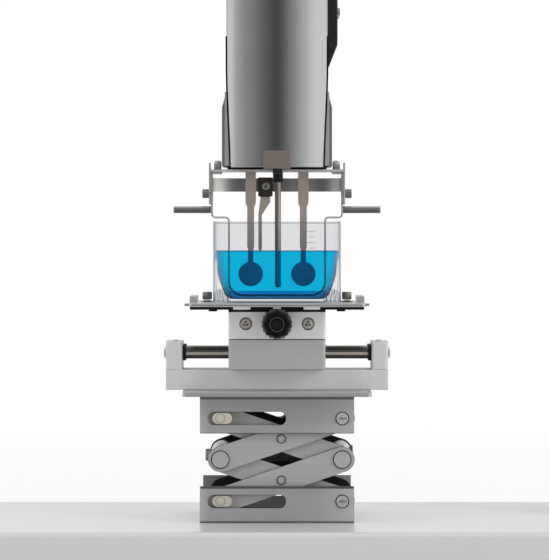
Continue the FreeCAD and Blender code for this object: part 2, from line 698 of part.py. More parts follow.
left_end, right_end = "-arm_span/2", "arm_span/2"
free_pivot = "pivot_round + running"
free_axle = "axle_round + running"
slot_reach = "jack_deep/2 - slip"
arm_pair("lower_inner_arms", "inner_face", "inner_back", "cross_low", 1,
         [(right_end, free_pivot), (left_end, free_pivot)],
         [("0", "axle_round", "outer_face + pin_proud")])
arm_pair("upper_inner_arms", "inner_face", "inner_back", "cross_top", 1,
         [(right_end, free_pivot), ("0", free_axle)],
         [(left_end, "pivot_round", slot_reach)])
arm_pair("lower_outer_arms", "outer_face", "outer_back", "cross_low", -1,
         [(right_end, free_pivot), ("0", free_axle)],
         [(left_end, "pivot_round", slot_reach)])
arm_pair("upper_outer_arms", "outer_face", "outer_back", "cross_top", -1,
         [(right_end, free_pivot), (left_end, free_pivot)],
         [("0", "axle_round", "outer_face + pin_proud")])


def cross_bar(label, place, flat):
    """Build the round bar that carries the lead screw between the arms."""
    body = "inner_back - slip"
    near, far = "outer_face + hair", "outer_face + head_thick"
    left, right = place + " - bar_round - past", place + " + bar_round + past"
    shapes = [rod("y", "bar_round", ("-(%s)" % body, body), place, "pivot_mid"),
              rod("y", "pivot_round", ("-(%s)" % near, near), place, "pivot_mid"),
              rod("y", "head_round", (near, far), place, "pivot_mid"),
              rod("y", "head_round", ("-(%s)" % far, "-(%s)" % near), place, "pivot_mid")]
    tools = [rod("x", "screw_round + running", (left, right), "0", "pivot_mid")]
    if flat:
        for a, b in ((left, place + " - bar_flat"), (place + " + bar_flat", right)):
            tools.append(block((a, b), ("-collar_round - slip*8", "collar_round + slip*8"),
                               ("pivot_mid - bar_round - past", "pivot_mid + bar_round + past")))
    return node(label, cut(join(*shapes), *tools))


cross_bar("nut_bar", "slot_side", False)
cross_bar("bearing_bar", "pivot_side", True)
screw_tail = "pivot_side + bar_flat + hair + collar_thick"
node("jack_lead_screw", cut(join(
    rod("x", "screw_round", ("slot_side - arm_half - screw_stub", screw_tail), "0", "pivot_mid"),
    rod("x", "collar_round", ("pivot_side + bar_flat + hair", screw_tail), "0", "pivot_mid"),
    rod("x", "collar_round", ("pivot_side - bar_flat - hair - collar_thick",
                              "pivot_side - bar_flat - hair"), "0", "pivot_mid")),
    block((screw_tail + " - hex_deep", screw_tail + " + past"), ("-hex_half", "hex_half"),
          ("pivot_mid - hex_half", "pivot_mid + hex_half"))))

# The X stage.
plate = new_body("adapter_plate")
pad(plate, "xy", rect("-plate_wide/2", "plate_wide/2", "-jack_deep/2", "jack_deep/2"),
    ("jack_top", "bar_foot"))
ease(plate, "plate_corner", lambda e: along(e, "z"))
node("stage_bar", rounded(block(("-bar_wide/2", "bar_wide/2"), ("-bar_deep/2", "bar_deep/2"),
                                ("bar_foot", "bar_top")), "bar_edge",
                          lambda e: along(e, "z") or along(e, "x")))
for side, a, b in (("left", "-bar_wide/2", "end_thick - bar_wide/2"),
                   ("right", "bar_wide/2 - end_thick", "bar_wide/2")):
    solid = rounded(block((a, b), ("-bar_deep/2", "bar_deep/2"),
                          ("bar_top", "bar_top + end_high")), "end_bevel",
                    lambda e: along(e, "z") or (
                        along(e, "x") and e.BoundBox.ZMin > size("bar_top + past")))
    node("x_end_block_" + side, cut(solid, *[
        rod("x", "xrod_round", (a + " - past", b + " + past"), c + "xrod_half", "xrod_level")
        for c in ("-", "")]))
ends = "bar_wide/2"
for label, c in (("x_rod_front", "-"), ("x_rod_rear", "")):
    line = (c + "xrod_half", "xrod_level")
    node(label, join(
        rod("x", "xrod_round", ("-" + ends, ends), *line),
        rod("x", "pan_round", ("-%s - pan_thick" % ends, "-" + ends), *line),
        rod("x", "pan_round", (ends, ends + " + pan_thick"), *line),
        rod("x", "ring_round", ("end_thick - " + ends, "end_thick + ring_thick - " + ends), *line),
        rod("x", "ring_round", (ends + " - end_thick - ring_thick", ends + " - end_thick"),
            *line)))
full = ("-carriage_half", "carriage_half")
lower = rounded(block(full, full, ("car_foot", "car_top")), "end_bevel",
                lambda e: along(e, "z"))
guide = block(full, ("-guide_half", "guide_half"), ("car_top", "up_top - upper_gap"))
node("x_carriage", cut(
    join(lower, guide),
    *[rod("x", "xrod_round + running", ("-carriage_half - past", "carriage_half + past"),
          c + "xrod_half", "xrod_level") for c in ("-", "")],
    *[rod("y", "yrod_round + running", ("-guide_half - past", "guide_half + past"),
          c + "yrod_half", "yrod_level") for c in ("-", "")],
    rod("y", "yscrew_round + screw_fit", ("-guide_half - past", "guide_half + past"), "0",
        "yrod_level")))

# The Y stage and the table.
for label, a, b in (("y_front_block", "-carriage_half", "upper_thick - carriage_half"),
                    ("y_rear_block", "carriage_half - upper_thick", "carriage_half")):
    solid = rounded(block(full, (a, b), ("up_foot", "up_top")), "end_bevel",
                    lambda e: along(e, "z"))
    node(label, cut(solid, *[
        rod("y", "yrod_round", (a + " - past", b + " + past"), c + "yrod_half", "yrod_level")
        for c in ("-", "")], rod("y", "yscrew_round + screw_fit", (a + " - past", b + " + past"),
                                 "0", "yrod_level")))
for label, c in (("y_rod_left", "-"), ("y_rod_right", "")):
    line = (c + "yrod_half", "yrod_level")
    node(label, cut(
        rod("y", "yrod_round", ("-carriage_half - slip", "carriage_half"), *line),
        rod("y", "yrod_round/2", ("-carriage_half - past", "past*2 - carriage_half"), *line)))
collar_back = "-carriage_half - collar_reach"
wheel_front = collar_back + " - wheel_thick"
knob_front = wheel_front + " - knob_long"
wheel = new_body("y_lead_screw")
pad(wheel, "xz", [], (wheel_front, collar_back), [("0", "yrod_level", "wheel_round")])
notch = pocket(wheel, "xz", [], (wheel_front + " - past", collar_back + " + past"),
               [("0", "yrod_level + wheel_round + scallop_out", "scallop_round")])
ring = wheel.newObject("PartDesign::PolarPattern", "Ring")
ring.Originals = [notch]
axis = wheel.newObject("PartDesign::Line", "Axis")
axis.Placement = FreeCAD.Placement(V(), FreeCAD.Rotation(V(1, 0, 0), -90))
bind(axis, Placement__Base__z="yrod_level")
ring.Axis = (axis, [""])
ring.Angle = 360
ring.Occurrences = 20
wheel.Tip = ring
doc.recompute()
pad(wheel, "xz", [], (collar_back, "carriage_half - past*2"),
    [("0", "yrod_level", "yscrew_round")])

knob = new_body("y_knob")
pad(knob, "xz", [], (knob_front, wheel_front), [("0", "yrod_level", "knob_round")])
lobe = pad(knob, "xz", [], (knob_front, wheel_front),
           [("0", "yrod_level + lobe_ring", "lobe_round")])
turn = knob.newObject("PartDesign::PolarPattern", "Lobes")
turn.Originals = [lobe]
line = knob.newObject("PartDesign::Line", "Axis")
line.Placement = FreeCAD.Placement(V(), FreeCAD.Rotation(V(1, 0, 0), -90))
bind(line, Placement__Base__z="yrod_level")
turn.Axis = (line, [""])
turn.Angle = 360
turn.Occurrences = 6
knob.Tip = turn
doc.recompute()
pocket(knob, "xz", [], (knob_front, knob_front + " + recess_deep"),
       [("0", "yrod_level", "recess_round")])

notches = [block(xs, ("-tray_half - past", "notch_deep - tray_half"),
                 ("tray_foot", "tray_top + past"))
           for xs in (("-table_wide/4", "-table_wide*0.15"), ("table_wide*0.14", "table_wide*0.225"))]
nuts = [rod("z", "nut_round", ("tray_foot - nut_high", "tray_foot"),
            "%stscrew_place - %snut_in" % (a, a)) for a in ("-", "")]
holes = [rod("z", "shank_round + running", ("tray_foot - past", "table_top + past"),
             a + "tscrew_place")
         for a in ("-", "")]
node("table_tray", cut(join(
    block(full, full, ("up_top", "tray_foot")),
    cut(block(("slip - table_wide/2", "table_wide/2 - slip"), ("-tray_half", "tray_half"),
              ("tray_foot", "tray_top")), *notches), *nuts), *holes))
table = new_body("table_plate")
pad(table, "xy", rect("-table_wide/2", "table_wide/2", "-table_deep/2", "table_deep/2"),
    ("tray_top", "table_top"))
ease(table, "plate_corner", lambda e: along(e, "z"))
for a, b in (("-table_wide/2", "lip_wide - table_wide/2"), ("table_wide/2 - lip_wide",
                                                            "table_wide/2")):
    pad(table, "xy", rect(a, b, "-lip_half", "lip_half"), ("table_top", "table_top + lip_high"))
pocket(table, "xy", [], ("tray_top - past", "table_top + past"),
       [("-tscrew_place", "0", "shank_round + running"),
        ("tscrew_place", "0", "shank_round + running")])
for side, a in (("left", "-"), ("right", "")):
    spot = (a + "tscrew_place", "0")
    node("table_screw_" + side, join(
        rod("z", "shank_round", ("tray_foot", "table_top + hair"), *spot),
        rod("z", "tscrew_round*0.8", ("table_top + hair", "table_top + tscrew_collar"), *spot),
        rod("z", "tscrew_round", ("table_top + tscrew_collar",
                                  "table_top + tscrew_collar + tscrew_high"), *spot)))


# The cup: a straight outer skirt and a tapered well hung from the rim.
def stadium(wide, deep, corner, low, high):
    """Build an upright block with round corners."""
    return rounded(block(("-(%s)/2" % wide, "(%s)/2" % wide), ("-(%s)/2" % deep,
                                                              "(%s)/2" % deep), (low, high)),
                   corner, lambda e: along(e, "z"))


def tapered(below, above, grow, foot, top):
    """Build one tapered length of the well between two outlines, grown by a wall."""
    item = doc.addObject("Part::Wedge", "Well")
    low, near = ["(%s)/2 + %s" % (value, grow) for value in below]
    high, far = ["(%s)/2 + %s" % (value, grow) for value in above]
    bind(item, Xmin="-(%s)" % low, Xmax=low, Zmin="-(%s)" % near, Zmax=near,
         X2min="-(%s)" % high, X2max=high, Z2min="-(%s)" % far, Z2max=far,
         Ymin="0", Ymax="(%s)-(%s)" % (top, foot))
    item.Placement = FreeCAD.Placement(V(), FreeCAD.Rotation(V(1, 0, 0), 90))
    bind(item, Placement__Base__z=foot)
    return rounded(item, "floor_corner + " + grow,
                   lambda e: e.BoundBox.ZLength > size("floor_corner"))


def well(grow, floor, top):
    """Build the inside of the cup, tapered below and nearly straight above."""
    bend = "cup_inside + taper_high"
    below, between = ("floor_wide", "floor_deep"), ("taper_wide", "taper_deep")
    above = ("cup_wide - cup_rim*2", "cup_deep - cup_rim*2")
    return join(tapered(below, between, grow, floor, bend),
                tapered(between, above, grow, bend, top))


skirt = cut(stadium("cup_wide", "cup_deep", "cup_corner", "table_top", "cup_top"),
            stadium("cup_wide - cup_skirt*2", "cup_deep - cup_skirt*2",
                    "cup_corner - cup_skirt", "table_top - past", "cup_top - cup_rim"))
hull = shared(well("wall_thick", "cup_inside - cup_floor + hair", "cup_top - cup_rim/2"),
              stadium("cup_wide - hair*2", "cup_deep - hair*2", "cup_corner", "table_top",
                      "cup_top"))
node("cup", cut(join(skirt, hull), well("0", "cup_inside", "cup_top + hair")))

# The protector, its handles and the frame plate.
step_low = "frame_foot - guard_step - guard_sheet"
foot = "frame_foot - guard_foot"
out, inn, thick = "guard_half", "guard_inner", "guard_sheet"
tab = out + " - guard_tab"
top = "frame_foot - hair"
right = [(tab, top), (out, top), (out, step_low), (inn, step_low), (inn, foot)]
inside = [("%s - %s" % (inn, thick), foot + " + " + thick),
          ("%s - %s" % (inn, thick), step_low + " + " + thick),
          ("%s - %s" % (out, thick), step_low + " + " + thick),
          ("%s - %s" % (out, thick), top + " - " + thick), (tab, top + " - " + thick)]
left = [("-(%s)" % a, b) for a, b in reversed(right)]
within = [("-(%s)" % a, b) for a, b in reversed(inside)]
strip = prism("xz", right + left + within + inside, ("-guard_deep", "guard_deep"))


def bend(edge, x, z, slack=0.02):
    """Say whether a front-to-back edge stands at a place, left or right."""
    mid = edge.BoundBox.Center
    return along(edge, "y") and abs(abs(mid.x) - size(x)) < slack and abs(
        mid.z - size(z)) < slack


outer_bend = rounded(strip, "guard_bend", lambda e: bend(e, inn, foot))
inner_bend = rounded(outer_bend, "guard_bend - guard_sheet",
                     lambda e: bend(e, inn + " - " + thick, foot + " + " + thick))
step_bend = rounded(inner_bend, "guard_turn", lambda e: bend(e, out, step_low) or bend(
    e, inn + " - " + thick, step_low + " + " + thick))
turn_bend = rounded(step_bend, "guard_turn - guard_sheet", lambda e: bend(
    e, out + " - " + thick, step_low + " + " + thick) or bend(e, inn, step_low))
handle = "frame_foot - handle_drop"
guard = join(turn_bend, *[
    rod("x", "handle_round", span, "0", handle)
    for span in (("-guard_half - handle_long", "hair*2 - guard_half"),
                 ("guard_half - hair*2", "guard_half + handle_long"))])
screws = "frame_foot - sscrew_drop"
node("protector", cut(
    guard,
    rod("x", "shank_round*0.7 + running", ("-guard_half - past", "guard_half + past"), "0",
        screws),
    *[rod("z", "shank_round*0.7 + running", ("frame_foot - guard_deep", "frame_foot + past"),
          a + "fscrew_place") for a in ("-", "")]))

slots = [block((a + "paddle_place - slot_room", a + "paddle_place + slot_room"),
               ("-slot_room/2", "slot_room/2"), ("frame_foot - past", "chassis_top + past"))
         for a in ("-", "")]
sheet = join(
    block(("-frame_half", "frame_half"), ("-frame_deep/2", "frame_deep/2"),
          ("frame_foot", "frame_top")),
    *[block(xs, ("-strip_half", "strip_half"), ("frame_foot - strip_drop",
                                                "frame_top + strip_lip"))
      for xs in (("-frame_half - strip_thick", "-frame_half"),
                 ("frame_half", "frame_half + strip_thick"))])
node("frame_plate", cut(
    sheet, *slots, rod("z", "probe_round", ("frame_foot - past", "frame_top + past"),
                       "probe_place"),
    rod("x", "shank_round*0.7 + running", ("-frame_half - past*2", "frame_half + past*2"), "0",
        screws),
    *[rod("z", "shank_round*0.7 + running", ("frame_foot - past", "frame_top + past"),
          a + "fscrew_place") for a in ("-", "")]))

for side, a, one in (("left", "-", ("-frame_half - strip_thick - hair - sscrew_long",
                                    "-frame_half - strip_thick - hair")),
                     ("right", "", ("frame_half + strip_thick + hair",
                                    "frame_half + strip_thick + hair + sscrew_long"))):
    inner = ("guard_half - guard_sheet", "frame_half + strip_thick + hair*2")
    if a:
        inner = ("-(%s)" % inner[1], "-(%s)" % inner[0])
    node("side_screw_" + side, join(
        rod("x", "shank_round*0.7", inner, "0", screws),
        rod("x", "sscrew_round", one, "0", screws)))
    node("frame_screw_" + side, join(
        rod("z", "shank_round*0.7", ("frame_foot - guard_sheet - hair", "frame_top + hair*2"),
            a + "fscrew_place"),
        rod("z", "fscrew_round", ("frame_top + hair", "frame_top + hair + fscrew_high"),
            a + "fscrew_place")))

band_top = "frame_foot - band_drop"
band_low = band_top + " - band_high"
bow = cut(rod("z", "band_bow", (band_low, band_top), "0", "band_back - band_bow"),
          rod("z", "band_bow - band_thick", (band_low + " - past", band_top + " + past"), "0",
              "band_back - band_bow"))
reach = "guard_half - guard_sheet"
node("back_band", shared(bow, block(("-(%s)" % reach, reach), ("hair", "band_back + past"),
                                    (band_low, band_top))))
gauge_left = "-gauge_right - gauge_wide"
gauge_top = "frame_foot - gauge_drop"
gauge_bend = gauge_top + " - gauge_body"
gauge_neck = gauge_bend + " - gauge_taper"
gauge_low = gauge_top + " - gauge_long"
leg_left, leg_right = gauge_left + " + gauge_step", "-gauge_right - gauge_step"
tip_left, tip_right = gauge_left + " + hair", gauge_left + " + hair + gauge_tip"
gauge_face = "band_back - band_thick - slip*2.5"
node("level_gauge", prism("xz", [
    (gauge_left, gauge_top), ("-gauge_right", gauge_top), ("-gauge_right", gauge_bend),
    (leg_right, gauge_bend), (leg_right, gauge_bend + " - gauge_knee"),
    (tip_right, gauge_neck), (tip_right, gauge_low + " + gauge_tip/2"),
    (tip_left + " + gauge_tip/2", gauge_low), (tip_left, gauge_low + " + gauge_tip/2"),
    (tip_left, gauge_neck), (leg_left, gauge_bend), (gauge_left, gauge_bend)],
    (gauge_face + " - gauge_thick", gauge_face)))
node("probe_boss", cut(
    rod("z", "boss_round", ("frame_foot - boss_high", "frame_foot"), "probe_place"),
    rod("z", "probe_round", ("frame_foot - boss_high - past", "frame_foot + past"),
        "probe_place")))
node("probe_tube", rounded(
    rod("z", "probe_round", ("frame_foot - probe_drop", "chassis_top + clamp_foot"),
        "probe_place"),
    "probe_round*0.9", lambda e: e.BoundBox.ZMax < size("frame_foot - probe_drop") + NEAR))

# The two sensor plates with their clamps and leaf springs.
for side, a in (("left", "-"), ("right", "")):
    mid = a + "paddle_place"

    def corner(width, rise, mid=mid):
        """Return the right and left corners at a height above the disc."""
        level = "disc_level + " + rise
        return (mid + " + %s/2" % width, level), (mid + " - %s/2" % width, level)

    rows = [corner("paddle_neck", "disc_round*0.6"), corner("paddle_neck", "neck_rise"),
            corner("paddle_mid", "neck_rise + past"), corner("paddle_mid", "mid_rise"),
            corner("paddle_wide", "wide_rise"), corner("paddle_wide", "paddle_rise")]
    stem = prism("xz", [r[0] for r in rows] + [r[1] for r in reversed(rows)],
                 ("-paddle_thick/2", "paddle_thick/2"))
    node("paddle_" + side, join(stem, rod("y", "disc_round", (
        "-paddle_thick/2", "paddle_thick/2"), mid, "disc_level")))
    node("spring_" + side, join(
        block((mid + " - clamp_wide/2", mid + " + clamp_wide/2"),
              ("paddle_thick/2", "paddle_thick/2 + clamp_deep"), ("clamp_low", "clamp_up")),
        block((mid + " - leaf_thick/2", mid + " + leaf_thick/2"),
              ("paddle_thick/2 + clamp_deep/2 - leaf_deep/2",
               "paddle_thick/2 + clamp_deep/2 + leaf_deep/2"),
              ("clamp_up - past", "block_low - slip"))))

# The head: chassis, drive, board, housing and cover.
rear = "head_back - head_wall - hair"
board_back = rear + " - chassis_back"
node("chassis", cut(join(
    block(("-chassis_half", "chassis_half"), ("slip - head_front", rear),
          ("frame_top", "chassis_top")),
    block(("-block_half", "block_half"), (board_back, rear),
          ("chassis_top", "frame_top + chassis_high")),
    block(("-block_half", "block_half"), ("-block_front", board_back),
          ("block_low", "block_low + block_high"))), *slots,
    rod("z", "probe_round", ("frame_top - past", "chassis_top + past"), "probe_place")))
node("drive_unit", join(
    block(("-coil_half", "coil_half"), ("coil_front", "coil_front + coil_deep"),
          ("chassis_top", "chassis_top + coil_high")),
    rod("x", "coil_half/2", ("-coil_half - cap_plate", "coil_half + cap_plate"),
        "coil_front + coil_deep/2", "chassis_top + coil_high*2/3")))
board_low = "chassis_top + board_rise"
node("circuit_board", join(
    block(("-board_half", "board_half"), (board_back + " - board_thick - post_long",
                                          board_back + " - post_long"),
          (board_low, board_low + " + board_high")),
    *[rod("y", "post_round", (board_back + " - post_long", board_back),
          "%sboard_half - %spost_inset" % (a, a), board_low + c)
      for a in ("-", "") for c in (" + post_inset", " + board_high - post_inset")]))
shape = [("-skirt_half", "head_foot"), ("skirt_half", "head_foot"),
         ("skirt_half", "head_foot + skirt_high"),
         ("head_half", "head_foot + skirt_high + flare_high"), ("head_half", "head_top"),
         ("-head_half", "head_top"), ("-head_half", "head_foot + skirt_high + flare_high"),
         ("-skirt_half", "head_foot + skirt_high")]
core = [("-skirt_half + head_wall", "head_foot - past"),
        ("skirt_half - head_wall", "head_foot - past"),
        ("skirt_half - head_wall", "head_foot + skirt_high"),
        ("head_half - head_wall", "head_foot + skirt_high + flare_high"),
        ("head_half - head_wall", "head_top - head_wall"),
        ("-head_half + head_wall", "head_top - head_wall"),
        ("-head_half + head_wall", "head_foot + skirt_high + flare_high"),
        ("-skirt_half + head_wall", "head_foot + skirt_high")]
vents = [block(("-vent_wide/2", "vent_wide/2"), ("head_back - head_wall*2", "head_back + past"),
               ("head_foot + vent_rise + vent_pitch*%d" % k,
                "head_foot + vent_rise + vent_pitch*%d + vent_high" % k)) for k in range(9)]
socket = ("0", "head_top - socket_drop")
node("head_rear_housing", cut(join(cut(
    prism("xz", shape, ("-head_front", "head_back")),
    prism("xz", core, ("-head_front - past", "head_back - head_wall"))),
    rod("y", "socket_round", ("head_back", "head_back + socket_long"), *socket)), *vents,
    rod("y", "socket_bore", ("head_back + socket_long - socket_in",
                             "head_back + socket_long + past"), *socket)))
cover_mid = "cover_round - cover_bulge - head_front"
arc = cut(rod("z", "cover_round", ("head_foot", "head_top"), "0", cover_mid),
          rod("z", "cover_round - cover_wall", ("head_foot - past", "head_top - cover_wall"), "0",
              cover_mid))
front = prism("xz", [("-cover_foot", "head_foot"), ("cover_foot", "head_foot"),
                     ("cover_top*0.97", "head_foot + skirt_high + flare_high*2"),
                     ("head_half", "head_top"), ("-head_half", "head_top"),
                     ("-cover_top*0.97", "head_foot + skirt_high + flare_high*2")],
              ("-head_front - cover_bulge - past", "-head_front"))
node("head_front_cover", shared(arc, front))
tab_back = "-head_front - cover_bulge - hair"
node("front_tab", join(
    block(("-tab_wide/2", "tab_wide/2"), (tab_back + " - tab_thick", tab_back),
          ("frame_top", "frame_top + tab_high")),
    block(("-tab_wide/2", "tab_wide/2"), (tab_back + " - tab_thick", "tab_foot - frame_deep/2"),
          ("frame_foot - tab_thick", "frame_foot")),
    block(("-tab_wide/2", "tab_wide/2"), (tab_back + " - tab_thick", tab_back),
          ("frame_foot - tab_thick", "frame_top"))))

# The black side bracket, the arm and the slider on the column.
tip = "head_foot + bracket_rise"
wing = "arm_line - bracket_deep/2"
bracket = new_body("head_bracket")
pad(bracket, "xz", [
    ("head_half", tip), ("head_half + bracket_tip", tip),
    ("head_half + bracket_thick", tip + " + bracket_taper"),
    ("head_half + bracket_thick", tip + " + bracket_high"),
    ("head_half", tip + " + bracket_high")],
    (wing + " - wing_ahead", wing + " - wing_ahead + bracket_deep"))
arm = new_body("head_arm")
pad(arm, "yz", rect("arm_line - arm_deep/2", "arm_line + arm_deep/2", "arm_low",
                    "arm_low + arm_high"),
    ("head_half + bracket_thick", "slider_side"))
ease(arm, "arm_edge", lambda e: along(e, "x"))

wide = ("slider_side", "column_right + slider_right")
body = rounded(block(wide, ("slider_front", "slider_rear"),
                     ("slider_low", "slider_low + slider_high")), "arm_edge",
               lambda e: along(e, "z"))
room = ("slider_low - past", "slider_low + slider_high + past")
node("column_slider", cut(
    body,
    block(("column_left - slip", "column_right + slip"),
          ("column_front - slip", "column_rear + slip"), room),
    block(("column_left - rack_thick - slip", "column_left"),
          ("arm_line - rack_wide/2 - slip", "arm_line + rack_wide/2 + slip"), room),
    rod("y", "pinion_round + slip*2", ("arm_line - pinion_long/2 - slip*2",
                                       "arm_line + pinion_long/2 + slip*2"), "pinion_side",
        "lift_level"),
    rod("y", "shaft_round + running", ("slider_front - past", "arm_line + pinion_long + past"),
        "pinion_side", "lift_level"),
    rod("y", "lock_shank + running", ("slider_front - past", "column_front"), "column_middle",
        "slider_low + lock_rise")))
grip = "slider_front - knob_gap"


def hand_knob(radius, long, side, level, count):
    """Build a round grip with finger grooves on the slider's front."""
    span = (grip + " - " + long, grip)
    grooves = []
    for k in range(count):
        reach = "(%s + flute_out)*%%s(%s)" % (radius, 360.0 / count * k)
        grooves.append(rod("y", "flute_round", (span[0] + " - past", grip + " - past*2"),
                           side + " + " + reach % "cos", level + " + " + reach % "sin"))
    return cut(rod("y", radius, span, side, level), *grooves)


node("lift_knob", join(
    rod("y", "shaft_round", (grip, "arm_line + pinion_long"), "pinion_side", "lift_level"),
    rod("y", "pinion_round", ("arm_line - pinion_long/2", "arm_line + pinion_long/2"),
        "pinion_side", "lift_level"),
    hand_knob("lift_round", "lift_long", "pinion_side", "lift_level", 10)))
node("lock_knob", join(
    rod("y", "lock_shank", (grip, "column_front - slip*0.5"), "column_middle",
        "slider_low + lock_rise"),
    hand_knob("lock_round", "lock_long", "column_middle", "slider_low + lock_rise", 8)))

doc.recompute()
faults = []
for item in doc.Objects:
    if any(word in ("Invalid", "Error") for word in item.State):
        faults.append("%s (%s) is %s" % (item.Name, item.Label, item.State))
for label, item in NODES:
    solid = item.Shape
    if solid.isNull() or not solid.isValid() or not solid.Solids:
        faults.append(label + " has no sound shape")
if faults:
    raise SystemExit("\n".join(faults))
os.makedirs("parts", exist_ok=True)
for label, item in NODES:
    item.Shape.exportStep("parts/%s.step" % label)
print("wrote %d pieces" % len(NODES))
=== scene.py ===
"""Bench rheometer: finishes, fine detail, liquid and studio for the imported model."""

import json
import logging
import math
from dataclasses import dataclass, field
from enum import Enum
from typing import Callable, Optional, Sequence, Union

import bmesh
import bpy
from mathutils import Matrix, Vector


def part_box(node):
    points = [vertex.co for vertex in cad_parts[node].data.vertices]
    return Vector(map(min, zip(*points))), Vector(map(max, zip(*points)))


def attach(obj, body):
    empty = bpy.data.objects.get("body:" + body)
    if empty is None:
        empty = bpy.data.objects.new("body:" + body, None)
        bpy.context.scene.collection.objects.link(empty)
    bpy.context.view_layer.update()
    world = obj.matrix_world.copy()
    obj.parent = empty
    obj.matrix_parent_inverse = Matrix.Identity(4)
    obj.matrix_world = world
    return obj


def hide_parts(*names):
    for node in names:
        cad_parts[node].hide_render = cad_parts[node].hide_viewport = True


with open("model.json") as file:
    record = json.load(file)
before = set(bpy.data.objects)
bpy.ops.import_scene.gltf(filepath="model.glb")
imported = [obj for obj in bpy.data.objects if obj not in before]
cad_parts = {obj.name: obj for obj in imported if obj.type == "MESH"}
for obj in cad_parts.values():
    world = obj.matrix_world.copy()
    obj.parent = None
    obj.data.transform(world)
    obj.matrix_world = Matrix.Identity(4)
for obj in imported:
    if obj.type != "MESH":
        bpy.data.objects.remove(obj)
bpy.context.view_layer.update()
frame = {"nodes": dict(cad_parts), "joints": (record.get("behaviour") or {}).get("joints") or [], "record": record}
LOG = logging.getLogger("rheometer")
MM = 0.001
Colour = tuple[float, float, float]
Number = Union[float, "Wire"]


class Axis(Enum):
    """An axis of the instrument: X right, Y back, Z up."""

    X = 0
    Y = 1
    Z = 2


def linear(red: float, green: float, blue: float) -> Colour:
    """Turn a colour read off a screen, 0 to 255, into linear light.

    Args:
        red: red value.
        green: green value.
        blue: blue value.

    Returns:
        The three linear values, 0 to 1.
    """
    def one(value: float) -> float:
        """Turn one value."""
        value /= 255.0
        return value / 12.92 if value <= 0.04045 else ((value + 0.055) / 1.055) ** 2.4
    return one(red), one(green), one(blue)


class Graph:
    """The node tree of a new material, or of a world that is handed in."""

    def __init__(self, name: str, world: Optional[bpy.types.World] = None) -> None:
        """Start an empty tree with an output."""
        self.owner = world or bpy.data.materials.new(name)
        self.owner.use_nodes = True
        self.tree = self.owner.node_tree
        self.tree.nodes.clear()
        self.output = self.tree.nodes.new(
            "ShaderNodeOutputWorld" if world else "ShaderNodeOutputMaterial")

    def add(self, kind: str, settings: Optional[dict] = None,
            sockets: Optional[dict] = None, out: Union[int, str] = 0) -> "Wire":
        """Add a node.

        Args:
            kind: the node's type.
            settings: properties, set before the sockets; "stops" fills a ramp.
            sockets: values or wires by socket name or number.
            out: the output that the wire leaves from.

        Returns:
            The wire that leaves the node.
        """
        node = self.tree.nodes.new(kind)
        for key, value in (settings or {}).items():
            if key == "stops":
                ramp = node.color_ramp.elements
                ramp[0].position, ramp[1].position = value[0][0], value[-1][0]
                for place, _ in value[1:-1]:
                    ramp.new(place)
                for stop, (_, shade) in zip(ramp, value):
                    stop.color = (*(shade if isinstance(shade, tuple) else (shade,) * 3), 1.0)
            else:
                setattr(node, key, value)
        for key, value in (sockets or {}).items():
            socket = node.inputs[key]
            if isinstance(value, Wire):
                self.tree.links.new(value.socket, socket)
            elif isinstance(value, tuple) and len(value) == 3 and socket.type == "RGBA":
                socket.default_value = (*value, 1.0)
            else:
                socket.default_value = value
        return Wire(self, node.outputs[out])

    def place(self, scale: Sequence[float] = (1, 1, 1)) -> "Wire":
        """Return object coordinates in millimetres, stretched along the axes."""
        spot = self.add("ShaderNodeTexCoord", out="Object")
        return self.add("ShaderNodeMapping", {}, {
            "Vector": spot, "Scale": tuple(1000.0 * s for s in scale)})

    def noise(self, scale: Sequence[float], detail: float = 2.0, rough: float = 0.5) -> "Wire":
        """Return noise from 0 to 1, with features of 1/scale millimetres."""
        return self.add("ShaderNodeTexNoise", {"noise_dimensions": "3D"}, {
            "Vector": self.place(scale), "Scale": 1.0, "Detail": detail,
            "Roughness": rough})

    def blend(self, factor: Number, one: Union[Colour, "Wire"],
              two: Union[Colour, "Wire"]) -> "Wire":
        """Return a mix of two colours."""
        node = self.tree.nodes.new("ShaderNodeMix")
        node.data_type = "RGBA"
        for index, value in ((0, factor), (6, one), (7, two)):
            if isinstance(value, Wire):
                self.tree.links.new(value.socket, node.inputs[index])
            elif index:
                node.inputs[index].default_value = (*value, 1.0)
            else:
                node.inputs[index].default_value = value
        return Wire(self, node.outputs[2])

    def part(self, vector: "Wire", axis: Axis) -> "Wire":
        """Return one part of a vector."""
        return self.add("ShaderNodeSeparateXYZ", {}, {0: vector}, axis.value)

    def ramp(self, value: "Wire", stops: Sequence[tuple[float, Union[float, Colour]]]) -> "Wire":
        """Return a colour looked up along stops."""
        return self.add("ShaderNodeValToRGB", {"stops": stops}, {0: value})

    def facing(self, axis: Axis) -> "Wire":
        """Return how far the surface faces along an axis of the instrument, -1 to 1."""
        return self.part(self.add("ShaderNodeNewGeometry", out="Normal"), axis)

    def bump(self, height: "Wire", depth: float, strength: float = 1.0) -> "Wire":
        """Return a normal raised by a height of so many millimetres."""
        return self.add("ShaderNodeBump", {}, {
            "Height": height, "Distance": depth * MM, "Strength": strength})

    def close(self, surface: "Wire") -> Union[bpy.types.Material, bpy.types.World]:
        """Wire the surface to the output and return the tree's owner."""
        self.tree.links.new(surface.socket, self.output.inputs["Surface"])
        return self.owner


